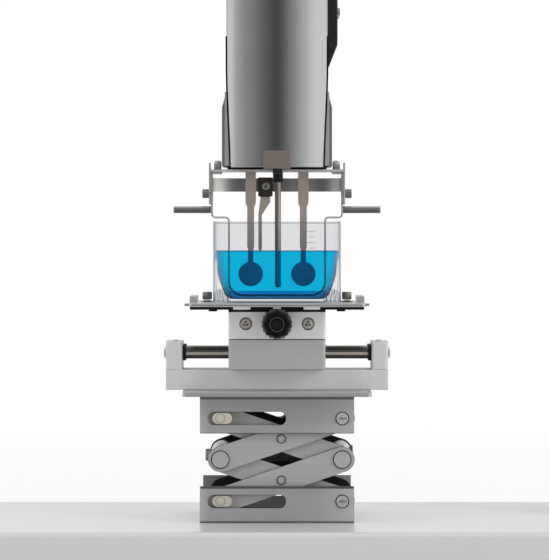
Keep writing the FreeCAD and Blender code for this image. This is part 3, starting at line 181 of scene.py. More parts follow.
class Wire:
    """A value in a node tree, with arithmetic."""

    def __init__(self, graph: Graph, socket: bpy.types.NodeSocket) -> None:
        """Hold a socket."""
        self.graph = graph
        self.socket = socket

    def _math(self, operation: str, one: Number, two: Number) -> "Wire":
        """Add one Math node."""
        return self.graph.add("ShaderNodeMath", {"operation": operation}, {0: one, 1: two})

    def __add__(self, other: Number) -> "Wire":
        """Add."""
        return self._math("ADD", self, other)

    def __radd__(self, other: Number) -> "Wire":
        """Add to a number."""
        return self._math("ADD", other, self)

    def __sub__(self, other: Number) -> "Wire":
        """Subtract."""
        return self._math("SUBTRACT", self, other)

    def __rsub__(self, other: Number) -> "Wire":
        """Subtract from a number."""
        return self._math("SUBTRACT", other, self)

    def __mul__(self, other: Number) -> "Wire":
        """Multiply."""
        return self._math("MULTIPLY", self, other)

    def __rmul__(self, other: Number) -> "Wire":
        """Multiply a number."""
        return self._math("MULTIPLY", other, self)

    def __gt__(self, other: Number) -> "Wire":
        """Return 1 where this is larger."""
        return self._math("GREATER_THAN", self, other)

    def power(self, other: Number) -> "Wire":
        """Raise to a power."""
        return self._math("POWER", self, other)

    def stretch(self, low: float, high: float) -> "Wire":
        """Spread the part between two values over 0 to 1, clamped."""
        return self.graph.add("ShaderNodeMapRange", {"clamp": True}, {
            "Value": self, "From Min": low, "From Max": high})


@dataclass(frozen=True)
class Finish:
    """A surface: colour, gloss and how much both wander."""

    name: str
    colour: Colour
    rough: float = 0.4
    metal: float = 0.0
    vary: float = 0.08
    grain: float = 0.15
    depth: float = 0.004
    wear: float = 0.03
    coat: float = 0.0
    # How dark the painted shade gets on faces towards the middle plane; below zero, none.
    inside: float = -1.0
    gloss: float = field(default=0.5, kw_only=True)
    # Below this height, in millimetres, painted tint and shade of the blue liquid; zero for none.
    liquid_shade_below: float = field(default=0.0, kw_only=True)

    def pattern(self, graph: Graph) -> Wire:
        """Return the fine grain, 0 to 1."""
        size = 1.0 / max(self.grain, 0.01)
        return graph.noise((size, size, size), 3.0, 0.6)

    def build(self) -> bpy.types.Material:
        """Make the material.

        Returns:
            The finished material.
        """
        graph = Graph(self.name)
        grain = self.pattern(graph)
        cloud = graph.noise((0.05, 0.05, 0.05), 3.0, 0.55).stretch(0.3, 0.7)
        dark = tuple(c * (1.0 - self.vary) for c in self.colour)
        pale = tuple(min(1.0, c * (1.0 + self.vary)) for c in self.colour)
        tone = graph.blend(grain.stretch(0.25, 0.75), dark, pale)
        tone = graph.blend(cloud * 0.3, tone, tuple(c * 0.93 for c in self.colour))
        tone = self.shaded(graph, tone)
        rough = self.rough + (grain - 0.5) * self.wear * 2.0 + (cloud - 0.5) * self.wear
        sockets = {"Base Color": tone, "Roughness": rough, "Metallic": self.metal,
                   "Specular IOR Level": self.gloss, "Normal": graph.bump(grain, self.depth)}
        if self.coat:
            sockets["Coat Weight"] = self.coat
            sockets["Coat Roughness"] = 0.12
        return graph.close(graph.add("ShaderNodeBsdfPrincipled", {}, sockets))

    def shaded(self, graph: Graph, tone: Wire) -> Wire:
        """Return the tone, with painted tint and shade of the liquid below a height, and painted shade on faces
        that face the middle plane.
        """
        # Painted tint and shade of the blue liquid on what lies under its surface.
        if self.liquid_shade_below:
            under = 1.0 - (graph.part(graph.place(), Axis.Z) > self.liquid_shade_below)
            tone = graph.blend(under, tone, (0.148, 0.226, 0.368))
        if self.inside < 0.0:
            return tone
        # Painted shade: faces that face the middle plane darken towards black, as if in the jack's own shadow.
        outward = graph.facing(Axis.Y) * graph.part(graph.place(), Axis.Y)
        deep = self.inside
        bright = graph.ramp(outward.stretch(-40.0, 40.0), [
            (0.0, deep), (0.15, deep), (0.40, 0.07), (0.55, 0.13), (0.80, 0.25), (0.93, 1.0)])
        return graph.blend(bright, tuple(c * 0.03 for c in self.colour), tone)


@dataclass(frozen=True)
class Brushed(Finish):
    """A metal with fine straight lines along one axis."""

    along: Axis = Axis.X
    fine: float = 6.0

    def pattern(self, graph: Graph) -> Wire:
        """Return lines along the axis."""
        scale = [self.fine, self.fine, self.fine]
        scale[self.along.value] = 0.02
        return graph.noise(scale, 4.0, 0.65)


@dataclass(frozen=True)
class Rod(Finish):
    """A ground rod with bands of painted highlight and painted shade along its length."""

    stops: tuple[tuple[float, float], ...] = ()
    across: Axis = Axis.Z

    def shaded(self, graph: Graph, tone: Wire) -> Wire:
        """Return the tone, scaled by stops of painted highlight and shade from one side of the rod to the other.
        """
        rise = graph.facing(self.across).stretch(-1.0, 1.0)
        band = graph.ramp(rise, [(a, tuple(c * b for c in self.colour)) for a, b in self.stops])
        return super().shaded(graph, graph.blend(0.9, tone, band))


@dataclass(frozen=True)
class PaintedLightStrip(Brushed):
    """A brushed strip with painted light and shade: brighter in places along its length, and darker between two
    heights.
    """

    stops: tuple[tuple[float, float], ...] = ()
    reach: float = 36.0
    # Heights, in millimetres, over which painted shade deepens.
    darkens: tuple[float, float] = (0.0, 0.0)

    def shaded(self, graph: Graph, tone: Wire) -> Wire:
        """Return the tone, scaled by stops of painted light and shade from the strip's left end to its right one.
        """
        spot = graph.place()
        along = graph.part(spot, Axis.X).stretch(-self.reach, self.reach)
        band = graph.ramp(along, [(a, tuple(c * b for c in self.colour)) for a, b in self.stops])
        tone = graph.blend(0.8, tone, band)
        # Painted shade, deepening upwards between the two heights.
        if self.darkens[1]:
            rise = graph.part(spot, Axis.Z).stretch(*self.darkens)
            tone = graph.blend(rise * 0.32, tone, (0.0, 0.0, 0.0))
        return super().shaded(graph, tone)


@dataclass(frozen=True)
class Clear:
    """A clear moulded plastic."""

    name: str
    colour: Colour = (0.925, 0.926, 0.93)
    rough: float = 0.03
    veil: float = 0.004
    # Colour of the painted shade at grazing edges; pale, as painted highlight, on the corner glints.
    rim: Colour = (0.24, 0.265, 0.29)

    def build(self) -> bpy.types.Material:
        """Make the material."""
        graph = Graph(self.name)
        clear = graph.add("ShaderNodeBsdfTransparent", {}, {"Color": self.colour})
        gloss = graph.add("ShaderNodeBsdfPrincipled", {}, {
            "Base Color": (0.80, 0.83, 0.85), "Roughness": self.rough, "Alpha": 1.0})
        dark = graph.add("ShaderNodeBsdfPrincipled", {}, {
            "Base Color": self.rim, "Roughness": 0.3, "Alpha": 1.0})
        edge = graph.add("ShaderNodeLayerWeight", {}, {"Blend": 0.5}, "Facing")
        body = graph.add("ShaderNodeMixShader", {}, {
            0: edge.power(3.0) * 0.55 + self.veil, 1: clear, 2: gloss})
        # Painted shade: grazing edges turn to the rim colour, standing in for light bent in the wall.
        return graph.close(graph.add("ShaderNodeMixShader", {}, {
            0: edge.stretch(0.60, 0.88), 1: body, 2: dark}))


@dataclass(frozen=True)
class Tinted:
    """A coloured liquid that things show through."""

    name: str
    colour: Colour
    depth: Colour
    gloss: float = 0.09
    side: Colour = (0.085, 0.27, 0.50)

    def build(self) -> bpy.types.Material:
        """Make the material."""
        graph = Graph(self.name)
        clear = graph.add("ShaderNodeBsdfTransparent", {}, {"Color": self.colour})
        edge = graph.add("ShaderNodeLayerWeight", {}, {"Blend": 0.5}, "Facing")
        deep = graph.add("ShaderNodeBsdfPrincipled", {}, {
            "Base Color": graph.blend(edge.stretch(0.1, 0.5), self.depth, self.side),
            "Roughness": 0.10, "Specular IOR Level": 0.2})
        return graph.close(graph.add("ShaderNodeMixShader", {}, {
            0: edge.stretch(0.15, 0.9) * 0.7 + self.gloss, 1: clear, 2: deep}))


class Palette:
    """Every finish on the instrument, made once when first asked for."""

    FINISHES: dict[str, Union[Finish, Clear, Tinted]] = {
        "enamel": Finish("pale_enamel", (0.56, 0.565, 0.57), 0.34, 0.0, 0.01, 1.2, 0.006, 0.03,
                         0.3),
        "arm_enamel": Finish("arm_enamel", (0.52, 0.525, 0.53), 0.36, 0.0, 0.01, 1.2, 0.006, 0.03,
                             0.3),
        "foot_black": Finish("foot_rubber", (0.022, 0.022, 0.023), 0.62, 0.0, 0.15, 0.6, 0.01),
        "column_metal": Brushed("column_extrusion", (0.62, 0.63, 0.64), 0.36, 0.8, 0.06, 0.2, 0.002,
                                0.05, 0.0, -1.0, Axis.Z, 4.0),
        # Jack sheet: painted light towards both ends, painted shade deepening from 85 to 101 mm high, and painted
        # shade on inner faces.
        "jack_sheet": PaintedLightStrip("jack_sheet", (0.42, 0.42, 0.425), 0.40, 0.5, 0.10, 0.2, 0.003, 0.05,
                               0.0, 0.75, Axis.X, 4.0,
                               ((0.0, 1.6), (0.07, 1.15), (0.5, 1.08), (0.75, 1.14), (0.85, 1.3),
                                (1.0, 1.6)), 42.0, (85.0, 101.0)),
        # Arms: painted shade down to black on inner faces.
        "arm_steel": Brushed("arm_steel", (0.52, 0.517, 0.515), 0.36, 0.4, 0.14, 0.2, 0.003, 0.06,
                             0.0, 0.0, Axis.X, 4.0),
        "pin_steel": Finish("turned_pin", (0.48, 0.476, 0.472), 0.28, 0.3, 0.08, 0.12, 0.002),
        "screw_steel": Finish("turned_screw", (0.50, 0.50, 0.50), 0.28, 1.0, 0.08, 0.12, 0.002),
        "plate_metal": Brushed("adapter_plate", (0.52, 0.52, 0.52), 0.38, 0.6, 0.08, 0.2, 0.002,
                               0.05, 0.0, -1.0, Axis.X, 4.0),
        # Stage: painted highlight towards the middle and painted shade towards both ends.
        "stage_metal": PaintedLightStrip("stage_satin", (0.74, 0.735, 0.73), 0.44, 0.12, 0.11, 0.12, 0.006,
                                0.05, 0.0, -1.0, Axis.X, 5.0,
                                ((0.0, 0.76), (0.25, 0.90), (0.45, 1.10), (0.6, 1.12), (0.8, 0.87),
                                 (1.0, 0.74)), 61.0),
        "carriage_metal": Brushed("carriage_satin", (0.42, 0.418, 0.415), 0.46, 0.2, 0.13, 0.12,
                                  0.006, 0.05, 0.0, -1.0, Axis.X, 5.0),
        "block_metal": Finish("block_satin", (0.70, 0.697, 0.69), 0.46, 0.2, 0.04, 0.12, 0.003),
        # Guide rods: a painted highlight band along the middle and on top, painted shade elsewhere.
        "rod_chrome": Rod("ground_rod", (0.15, 0.138, 0.128), 0.16, 0.35, 0.03, 0.3, 0.0005, 0.02,
                          stops=((0.0, 0.25), (0.30, 0.4), (0.36, 4.0), (0.52, 4.2), (0.58, 0.6),
                                 (0.8, 0.35), (0.93, 0.5), (1.0, 1.5))),
        "knob_black": Finish("knob_black", (0.004, 0.004, 0.004), 0.5, 0.0, 0.12, 0.4, 0.002,
                             gloss=0.15),
        "tray_black": Finish("tray_black", (0.008, 0.008, 0.008), 0.55, 0.0, 0.12, 0.4, 0.003,
                             gloss=0.25),
        "table_steel": Brushed("table_steel", (0.48, 0.48, 0.475), 0.34, 0.4, 0.14, 0.2, 0.002,
                               0.05, 0.0, -1.0, Axis.X, 5.0),
        "thumb_steel": Finish("knurled_steel", (0.68, 0.67, 0.66), 0.32, 0.5, 0.10, 0.2, 0.002),
        "thumb_brown": Finish("knurled_brown", (0.33, 0.30, 0.27), 0.34, 0.5, 0.10, 0.2, 0.002),
        # Dark steel of the washers; also painted shade in screw slots, round pin caps and round the knob's recess.
        "thumb_dark": Finish("knurled_dark", (0.24, 0.235, 0.225), 0.36, 0.6, 0.10, 0.2, 0.002),
        "cup_clear": Clear("clear_cup"),
        # Painted highlights: white streaks in the cup's front corners.
        "glint": Clear("cup_corner", (1.0, 1.0, 1.0), 0.3, 0.5, (0.9, 0.9, 0.9)),
        "guard_steel": Finish("bright_strip", (0.66, 0.645, 0.63), 0.26, 0.5, 0.08, 0.3, 0.001),
        # Handle rods and side screws: bands of painted highlight and painted shade across them.
        "handle": Rod("handle_rod", (0.40, 0.395, 0.39), 0.24, 0.85, 0.08, 0.3, 0.001, 0.03,
                      stops=((0.0, 0.35), (0.25, 0.45), (0.36, 0.8), (0.46, 1.5), (0.54, 1.4),
                             (0.62, 0.6), (0.78, 0.9), (0.92, 1.7), (1.0, 1.9))),
        # Back band: painted light near both ends, painted shade in the middle under the head.
        "band_steel": PaintedLightStrip("band_steel", (0.90, 0.875, 0.84), 0.34, 0.25, 0.16, 0.2, 0.003,
                               0.05, 0.0, -1.0, Axis.X, 5.0,
                               ((0.014, 0.45), (0.042, 1.1), (0.072, 1.0), (0.103, 0.65),
                                (0.133, 0.30), (0.164, 0.15), (0.225, 0.09), (0.56, 0.08),
                                (0.61, 0.22), (0.775, 0.24), (0.815, 0.10), (0.845, 0.07),
                                (0.867, 0.09), (0.897, 0.22), (0.928, 0.50), (0.96, 0.52),
                                (0.986, 0.10))),
        "boss_black": Finish("boss_black", (0.012, 0.012, 0.012), 0.45, gloss=0.25),
        # Probe: painted shade on its left side, painted highlight on its right, and painted liquid tint and shade
        # below the surface.
        "probe_steel": Rod("probe_steel", linear(150, 140, 134), 0.34, 0.3, 0.05, 0.3, 0.0008,
                           stops=((0.0, 0.25), (0.25, 0.30), (0.46, 0.55), (0.56, 1.25), (0.8, 1.5),
                                  (0.95, 0.9), (1.0, 0.5)), across=Axis.X, liquid_shade_below=179.5),
        # Sensor plates: painted liquid tint and shade below the surface.
        "sensor_metal": Finish("sensor_plate", linear(164, 152, 145), 0.50, 0.2, 0.04, 0.25, 0.002,
                               liquid_shade_below=179.5),
        "spring_steel": Finish("spring_strip", (0.30, 0.31, 0.34), 0.28, 1.0),
        "chassis_black": Finish("chassis_black", (0.015, 0.015, 0.016), 0.42, 0.3),
        "coil_brown": Finish("coil_block", (0.16, 0.06, 0.02), 0.45),
        "board_green": Finish("printed_board", (0.02, 0.13, 0.05), 0.40),
        # Upper gauge: dark taupe, partly its colour and partly painted shade under the head; also the table's line
        # of painted shade.
        "gauge": Finish("gauge_taupe", linear(72, 66, 57), 0.42, 0.35, 0.10, 0.3, 0.002),
        "gauge_leg": Finish("gauge_leg", linear(205, 192, 182), 0.42, 0.3, 0.08, 0.3, 0.002),
        "housing_silver": Finish("housing_silver", (0.50, 0.505, 0.51), 0.34, 0.9, 0.03, 0.1,
                                 0.003),
        "cover_silver": Brushed("cover_silver", (0.565, 0.562, 0.56), 0.17, 1.0, 0.02, 0.2, 0.0004,
                                0.02, 0.0, -1.0, Axis.Z, 5.0),
        "tab_taupe": Finish("tab_taupe", linear(122, 112, 106), 0.48, 0.3),
        "bracket_black": Finish("bracket_black", (0.014, 0.014, 0.014), 0.50, 0.0, 0.2, 0.25, 0.01),
        "liquid": Tinted("blue_sample", (0.02, 0.80, 0.985), linear(5, 50, 185), 0.06),
        "deep_liquid": Tinted("deep_sample", (0.4, 0.40, 0.65), linear(5, 80, 145), 0.06),
        "meniscus": Finish("liquid_edge", linear(20, 95, 125), 0.3),
        # Pale spacers; also painted highlight streaks in the cup's corners.
        "white": Finish("pale_spacer", (0.80, 0.80, 0.79), 0.45),
        "nylon": Finish("nylon_shoe", linear(180, 176, 163), 0.42, 0.0, 0.06, 0.5, 0.004, 0.04,
                        0.2),
        # Printed graduation lines; also painted shade streaks in the cup's corners.
        "mark": Finish("printed_line", (0.16, 0.17, 0.18), 0.6),
        "steel": Finish("small_screw", (0.60, 0.60, 0.59), 0.28, 0.8),
        # Painted shade at the foot of the cup's front corners.
        "foot_haze": Clear("cup_foot", (0.60, 0.62, 0.66), 0.3, 0.02, (0.3, 0.3, 0.3)),
        # Painted shade along the cup's rim.
        "rim_line": Clear("cup_rim", (0.74, 0.74, 0.75), 0.3, 0.05, (0.3, 0.3, 0.3)),
        # Painted shade: dark grey on eased edges of the jack, frame plate and protector, and in the jack's lines
        # of shade.
        "cut_edge": Finish("cut_edge", (0.10, 0.10, 0.10), 0.45, 0.3),
        # Painted shade in sockets, slots, holes and gaps; also the vent gauze's own dark colour.
        "dark": Finish("dark_recess", (0.006, 0.006, 0.006), 0.7),
    }
    _made: dict[str, bpy.types.Material] = {}

    @classmethod
    def get(cls, name: str) -> bpy.types.Material:
        """Return a finish's material."""
        if name not in cls._made:
            cls._made[name] = cls.FINISHES[name].build()
        return cls._made[name]


class Maker:
    """Builds meshes and hands them to the frame."""

    @staticmethod
    def finish(name: str, mesh: bmesh.types.BMesh, finish: str, body: str,
               replaces: Sequence[str] = (), smooth: float = 35.0, bevel: float = 0.0,
               segments: int = 2) -> bpy.types.Object:
        """Turn a mesh into a piece that rides on a body.

        Args:
            name: the piece's name.
            mesh: its geometry, in metres, at rest.
            finish: a finish's name.
            body: the body that it moves with.
            replaces: CAD nodes that it stands for.
            smooth: largest angle between smooth faces, in degrees.
            bevel: edge rounding, in millimetres.
            segments: steps of that rounding.

        Returns:
            The object.
        """
        data = bpy.data.meshes.new(name)
        bmesh.ops.recalc_face_normals(mesh, faces=mesh.faces)
        mesh.to_mesh(data)
        mesh.free()
        obj = bpy.data.objects.new(name, data)
        bpy.context.scene.collection.objects.link(obj)
        Maker.shade(obj, smooth)
        if bevel:
            tool = obj.modifiers.new("edges", "BEVEL")
            tool.width = bevel * MM
            tool.segments = segments
            tool.limit_method = "ANGLE"
            tool.angle_limit = math.radians(40.0)
            tool.harden_normals = False
            tool.use_clamp_overlap = True
        data.materials.append(Palette.get(finish))
        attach(obj, body)
        finish in SLOTS
        if replaces:
            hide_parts(*replaces)
        LOG.info("%s: %d faces on %s", name, len(data.polygons), body)
        return obj

    @staticmethod
    def shade(obj: bpy.types.Object, angle: float) -> None:
        """Shade smooth, with sharp edges above an angle."""
        data = obj.data
        for face in data.polygons:
            face.use_smooth = True
        work = bmesh.new()
        work.from_mesh(data)
        limit = math.radians(angle)
        for edge in work.edges:
            edge.smooth = len(edge.link_faces) == 2 and edge.calc_face_angle(0.0) < limit
        work.to_mesh(data)
        work.free()

    @staticmethod
    def skin(node: str, finish: str = "", bevel: float = 0.3, smooth: float = 35.0,
             split: float = 0.0, edge: str = "") -> bpy.types.Object:
        """Copy a CAD node's form, ease its edges and dress it.

        Args:
            node: the node's name.
            finish: a finish's name; by default the node's own slot.
            bevel: edge rounding, in millimetres.
            smooth: largest angle between smooth faces, in degrees.
            split: a height, in millimetres, at which faces are cut in two.
            edge: finish of the eased edges; by default the same.

        Returns:
            The piece.
        """
        work = bmesh.new()
        work.from_mesh(frame["nodes"][node].data)
        bmesh.ops.remove_doubles(work, verts=work.verts, dist=2e-6)
        bmesh.ops.dissolve_limit(work, angle_limit=math.radians(0.6), verts=work.verts,
                                 edges=work.edges, delimit={"NORMAL"})
        if split:
            bmesh.ops.bisect_plane(work, geom=work.verts[:] + work.edges[:] + work.faces[:],
                                   plane_co=(0.0, 0.0, split * MM), plane_no=(0.0, 0.0, 1.0))
        piece = Maker.finish(node + "_skin", work, finish or NODE_SLOT[node], NODE_BODY[node],
                             (node,), smooth, bevel)
        if edge:
            piece.data.materials.append(Palette.get(edge))
            piece.modifiers["edges"].material = 1
        return piece

    @staticmethod
    def box(low: Sequence[float], high: Sequence[float],
            mesh: Optional[bmesh.types.BMesh] = None) -> bmesh.types.BMesh:
        """Return a box between two corners, in millimetres."""
        mesh = mesh or bmesh.new()
        made = bmesh.ops.create_cube(mesh, size=1.0)["verts"]
        low, high = Vector(low) * MM, Vector(high) * MM
        for vert in made:
            vert.co = Vector([lo + (c + 0.5) * (hi - lo) for c, lo, hi in zip(vert.co, low, high)])
        return mesh

    @staticmethod
    def turned(profile: Sequence[tuple[float, float]], axis: Axis, centre: Sequence[float],
               steps: int = 40, ripple: Optional[Callable[[float, float], float]] = None,
               mesh: Optional[bmesh.types.BMesh] = None, flip: bool = False,
               caps: bool = True) -> bmesh.types.BMesh:
        """Return a solid of revolution.

        Args:
            profile: radius and height pairs, in millimetres, from end to end.
            axis: the axis that it turns about.
            centre: the point where height is zero, in millimetres.
            steps: faces round.
            ripple: adds to the radius, from the angle and the height.
            mesh: a mesh to add to.
            flip: run the height backwards along the axis.
            caps: close both ends.

        Returns:
            The mesh.
        """
        mesh = mesh or bmesh.new()
        turn = {Axis.Z: (0, 1, 2), Axis.X: (1, 2, 0), Axis.Y: (2, 0, 1)}[axis]
        rings = []
        for radius, height in profile:
            ring = []
            for i in range(steps):
                angle = math.tau * i / steps
                r = radius + (ripple(angle, height) if ripple and radius > 0 else 0.0)
                local = [r * math.cos(angle), r * math.sin(angle), -height if flip else height]
                spot = Vector(centre)
                for k in range(3):
                    spot[turn[k]] += local[k]
                ring.append(mesh.verts.new(spot * MM))
            rings.append(ring)
        for a, b in zip(rings, rings[1:]):
            for i in range(steps):
                j = (i + 1) % steps
                mesh.faces.new((a[i], a[j], b[j], b[i]))
        if caps:
            mesh.faces.new(rings[0][::-1])
            mesh.faces.new(rings[-1])
        return mesh

    @staticmethod
    def outline(centre: Sequence[float], axis: Axis, radius: float, width: float,
                mesh: bmesh.types.BMesh, flip: bool = False, steps: int = 48) -> None:
        """Add a thin raised ring round a centre, such as the shadow gap of a rivet."""
        Maker.turned([(radius - width / 2, 0.0), (radius - width / 2, 0.05),
                      (radius + width / 2, 0.05), (radius + width / 2, 0.0)], axis, centre, steps,
                     None, mesh, flip, False)

    @staticmethod
    def prism(points: Sequence[tuple[float, float]], axis: Axis, start: float, end: float,
              mesh: Optional[bmesh.types.BMesh] = None) -> bmesh.types.BMesh:
        """Return an outline extruded along an axis, in millimetres."""
        mesh = mesh or bmesh.new()
        turn = {Axis.Z: (0, 1, 2), Axis.X: (1, 2, 0), Axis.Y: (0, 2, 1)}[axis]
        rings = []
        for level in (start, end):
            ring = []
            for a, b in points:
                spot = Vector((0, 0, 0))
                spot[turn[0]], spot[turn[1]], spot[turn[2]] = a, b, level
                ring.append(mesh.verts.new(spot * MM))
            rings.append(ring)
        count = len(points)
        for i in range(count):
            j = (i + 1) % count
            mesh.faces.new((rings[0][i], rings[0][j], rings[1][j], rings[1][i]))
        mesh.faces.new(rings[0][::-1])
        mesh.faces.new(rings[1])
        return mesh

    @staticmethod
    def rings(loops: Sequence[Sequence[Vector]], close: tuple[bool, bool] = (True, True),
              mesh: Optional[bmesh.types.BMesh] = None) -> bmesh.types.BMesh:
        """Return a surface through closed loops of equal length, in millimetres."""
        mesh = mesh or bmesh.new()
        made = [[mesh.verts.new(Vector(p) * MM) for p in loop] for loop in loops]
        for a, b in zip(made, made[1:]):
            for i in range(len(a)):
                j = (i + 1) % len(a)
                mesh.faces.new((a[i], a[j], b[j], b[i]))
        if close[0]:
            mesh.faces.new(made[0][::-1])
        if close[1]:
            mesh.faces.new(made[-1])
        return mesh

    @staticmethod
    def round_rect(wide: float, deep: float, corner: float, level: float,
                   steps: int = 8) -> list[Vector]:
        """Return a level outline with round corners, in millimetres."""
        points = []
        for cx, cy, start in ((1, 1, 0.0), (-1, 1, 90.0), (-1, -1, 180.0), (1, -1, 270.0)):
            for k in range(steps + 1):
                angle = math.radians(start + 90.0 * k / steps)
                points.append(Vector((cx * (wide / 2 - corner) + corner * math.cos(angle),
                                      cy * (deep / 2 - corner) + corner * math.sin(angle), level)))
        return points

    @staticmethod
    def knurl(count: int, depth: float, low: float, high: float) -> Callable[[float, float], float]:
        """Return a ripple of straight grooves between two heights."""
        def ripple(angle: float, height: float) -> float:
            """Return the change of radius."""
            if low - 1e-6 <= height <= high + 1e-6:
                return -depth * (0.5 + 0.5 * math.cos((angle - math.pi / 2) * count))
            return 0.0
        return ripple


RECORD = frame["record"]
SLOTS = {m["slot"] for m in RECORD["materials"]}
NODE_SLOT = {s["node"]: s["material_slot"] for s in RECORD["subparts"]}
NODE_BODY = {n: body for body, names in RECORD["behaviour"]["bodies"].items() for n in names}


def span(node: str) -> tuple[Vector, Vector]:
    """Return a node's corners at rest, in millimetres."""
    low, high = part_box(node)
    return low / MM, high / MM


def middle(node: str) -> Vector:
    """Return the centre of a node's box at rest, in millimetres."""
    low, high = span(node)
    return (low + high) / 2


@dataclass
class SocketScrew:
    """A small socket-head screw seen from its end."""

    radius: float = 2.2
    high: float = 1.2
    finish: str = "steel"

    def build(self, name: str, body: str, axis: Axis, spots: Sequence[Sequence[float]],
              flip: bool = False) -> None:
        """Set screws at several places.

        Args:
            name: the piece's name.
            body: the body that they ride on.
            axis: the way that they point.
            spots: seat centres, in millimetres.
            flip: point them backwards along the axis.
        """
        mesh, dark = bmesh.new(), bmesh.new()
        r, h = self.radius, self.high
        for spot in spots:
            Maker.turned([(r, -0.4), (r, h - 0.25), (r - 0.25, h), (r * 0.52, h),
                          (r * 0.5, h * 0.3)], axis, spot, 24, None, mesh, flip)
            # Painted shade: a dark disc down in each socket.
            Maker.turned([(r * 0.5, h * 0.28), (r * 0.5, h * 0.34)], axis, spot, 6, None, dark,
                         flip)
        Maker.finish(name, mesh, self.finish, body)
        Maker.finish(name + "_socket", dark, "dark", body)


@dataclass
class Stand:
    """Base plate, levelling feet and column."""

    flutes: int = 24
    tooth: float = 3.1416
    rack_high: float = 310.0

    def build(self) -> None:
        """Build the stand."""
        Maker.skin("base_plate", bevel=0.0, smooth=50.0)
        self.column()
        for node in ("foot_left_front", "foot_left_rear", "foot_right_front", "foot_right_rear"):
            self.foot(node)

    def column(self) -> None:
        """Dress the column, cap it and cut teeth on its strip."""
        low, high = span("column")
        for vert in Maker.skin("column", bevel=0.2).data.vertices:
            vert.co.z = min(vert.co.z, (high.z - 1.0) * MM)
        mid_y = (low.y + high.y) / 2
        left = low.x + 3.0
        cap = Maker.box((left - 0.6, low.y - 0.6, high.z - 5), (high.x + 0.6, high.y + 0.6, high.z))
        Maker.finish("column_cap", cap, "knob_black", "stand", bevel=1.6, segments=3)
        teeth = bmesh.new()
        z = high.z - self.rack_high
        while z < high.z - 6.0:
            Maker.prism([(low.x + 0.02, z), (low.x + 0.02, z + 1.9), (low.x - 0.22, z + 1.5),
                         (low.x - 0.22, z + 0.4)], Axis.Y, mid_y - 4.6, mid_y + 4.6, teeth)
            z += self.tooth
        Maker.finish("rack_teeth", teeth, "screw_steel", "stand")
        plinth = Maker.box((left - 4, low.y - 4, low.z), (high.x + 4, high.y + 4, low.z + 6))
        Maker.finish("column_foot_ring", plinth, "arm_enamel", "stand", bevel=1.5, segments=3)
        SocketScrew(2.6, 1.0).build("column_foot_screws", "stand", Axis.Z, [
            (x, y, low.z + 6) for x in (left - 0.3, high.x + 0.3)
            for y in (low.y - 0.3, high.y + 0.3)])

    def foot(self, node: str) -> None:
        """Build one levelling foot with a fluted rim and a threaded shank."""
        low, high = span(node)
        mid = middle(node)
        centre = (mid.x, mid.y, 0.0)
        pad = Maker.turned([(13.6, 0), (15, 0.8), (15, 3.6), (14.2, 4.5), (9, 4.5)], Axis.Z, centre)
        Maker.finish(node + "_pad", pad, "foot_black", NODE_BODY[node], (node,))
        rim = Maker.turned([(9, 6.4), (12.6, 6.4), (13, 6.8), (13, 12.9), (12.6, 13.3), (9, 13.3)],
                           Axis.Z, centre, 120, Maker.knurl(self.flutes, 0.7, 6.6, 13.1))
        Maker.finish(node + "_rim", rim, "foot_black", NODE_BODY[node])
        shank = Thread(4.9, 0.45, 1.5).mesh(Axis.Z, centre, 4.5, high.z)
        Maker.finish(node + "_shank", shank, "screw_steel", NODE_BODY[node])


@dataclass
class Thread:
    """An external screw thread."""

    radius: float
    depth: float
    pitch: float
    steps: int = 24
    rows: int = 4

    def mesh(self, axis: Axis, centre: Sequence[float], start: float, end: float,
             mesh: Optional[bmesh.types.BMesh] = None) -> bmesh.types.BMesh:
        """Return the threaded length between two heights, in millimetres."""
        count = max(2, int((end - start) / self.pitch * self.rows))
        profile = [(self.radius, start + (end - start) * i / count) for i in range(count + 1)]

        def ripple(angle: float, height: float) -> float:
            """Return the groove's depth."""
            phase = (height / self.pitch - angle / math.tau) % 1.0
            return -self.depth * abs(2.0 * phase - 1.0)
        return Maker.turned(profile, axis, centre, self.steps, ripple, mesh)


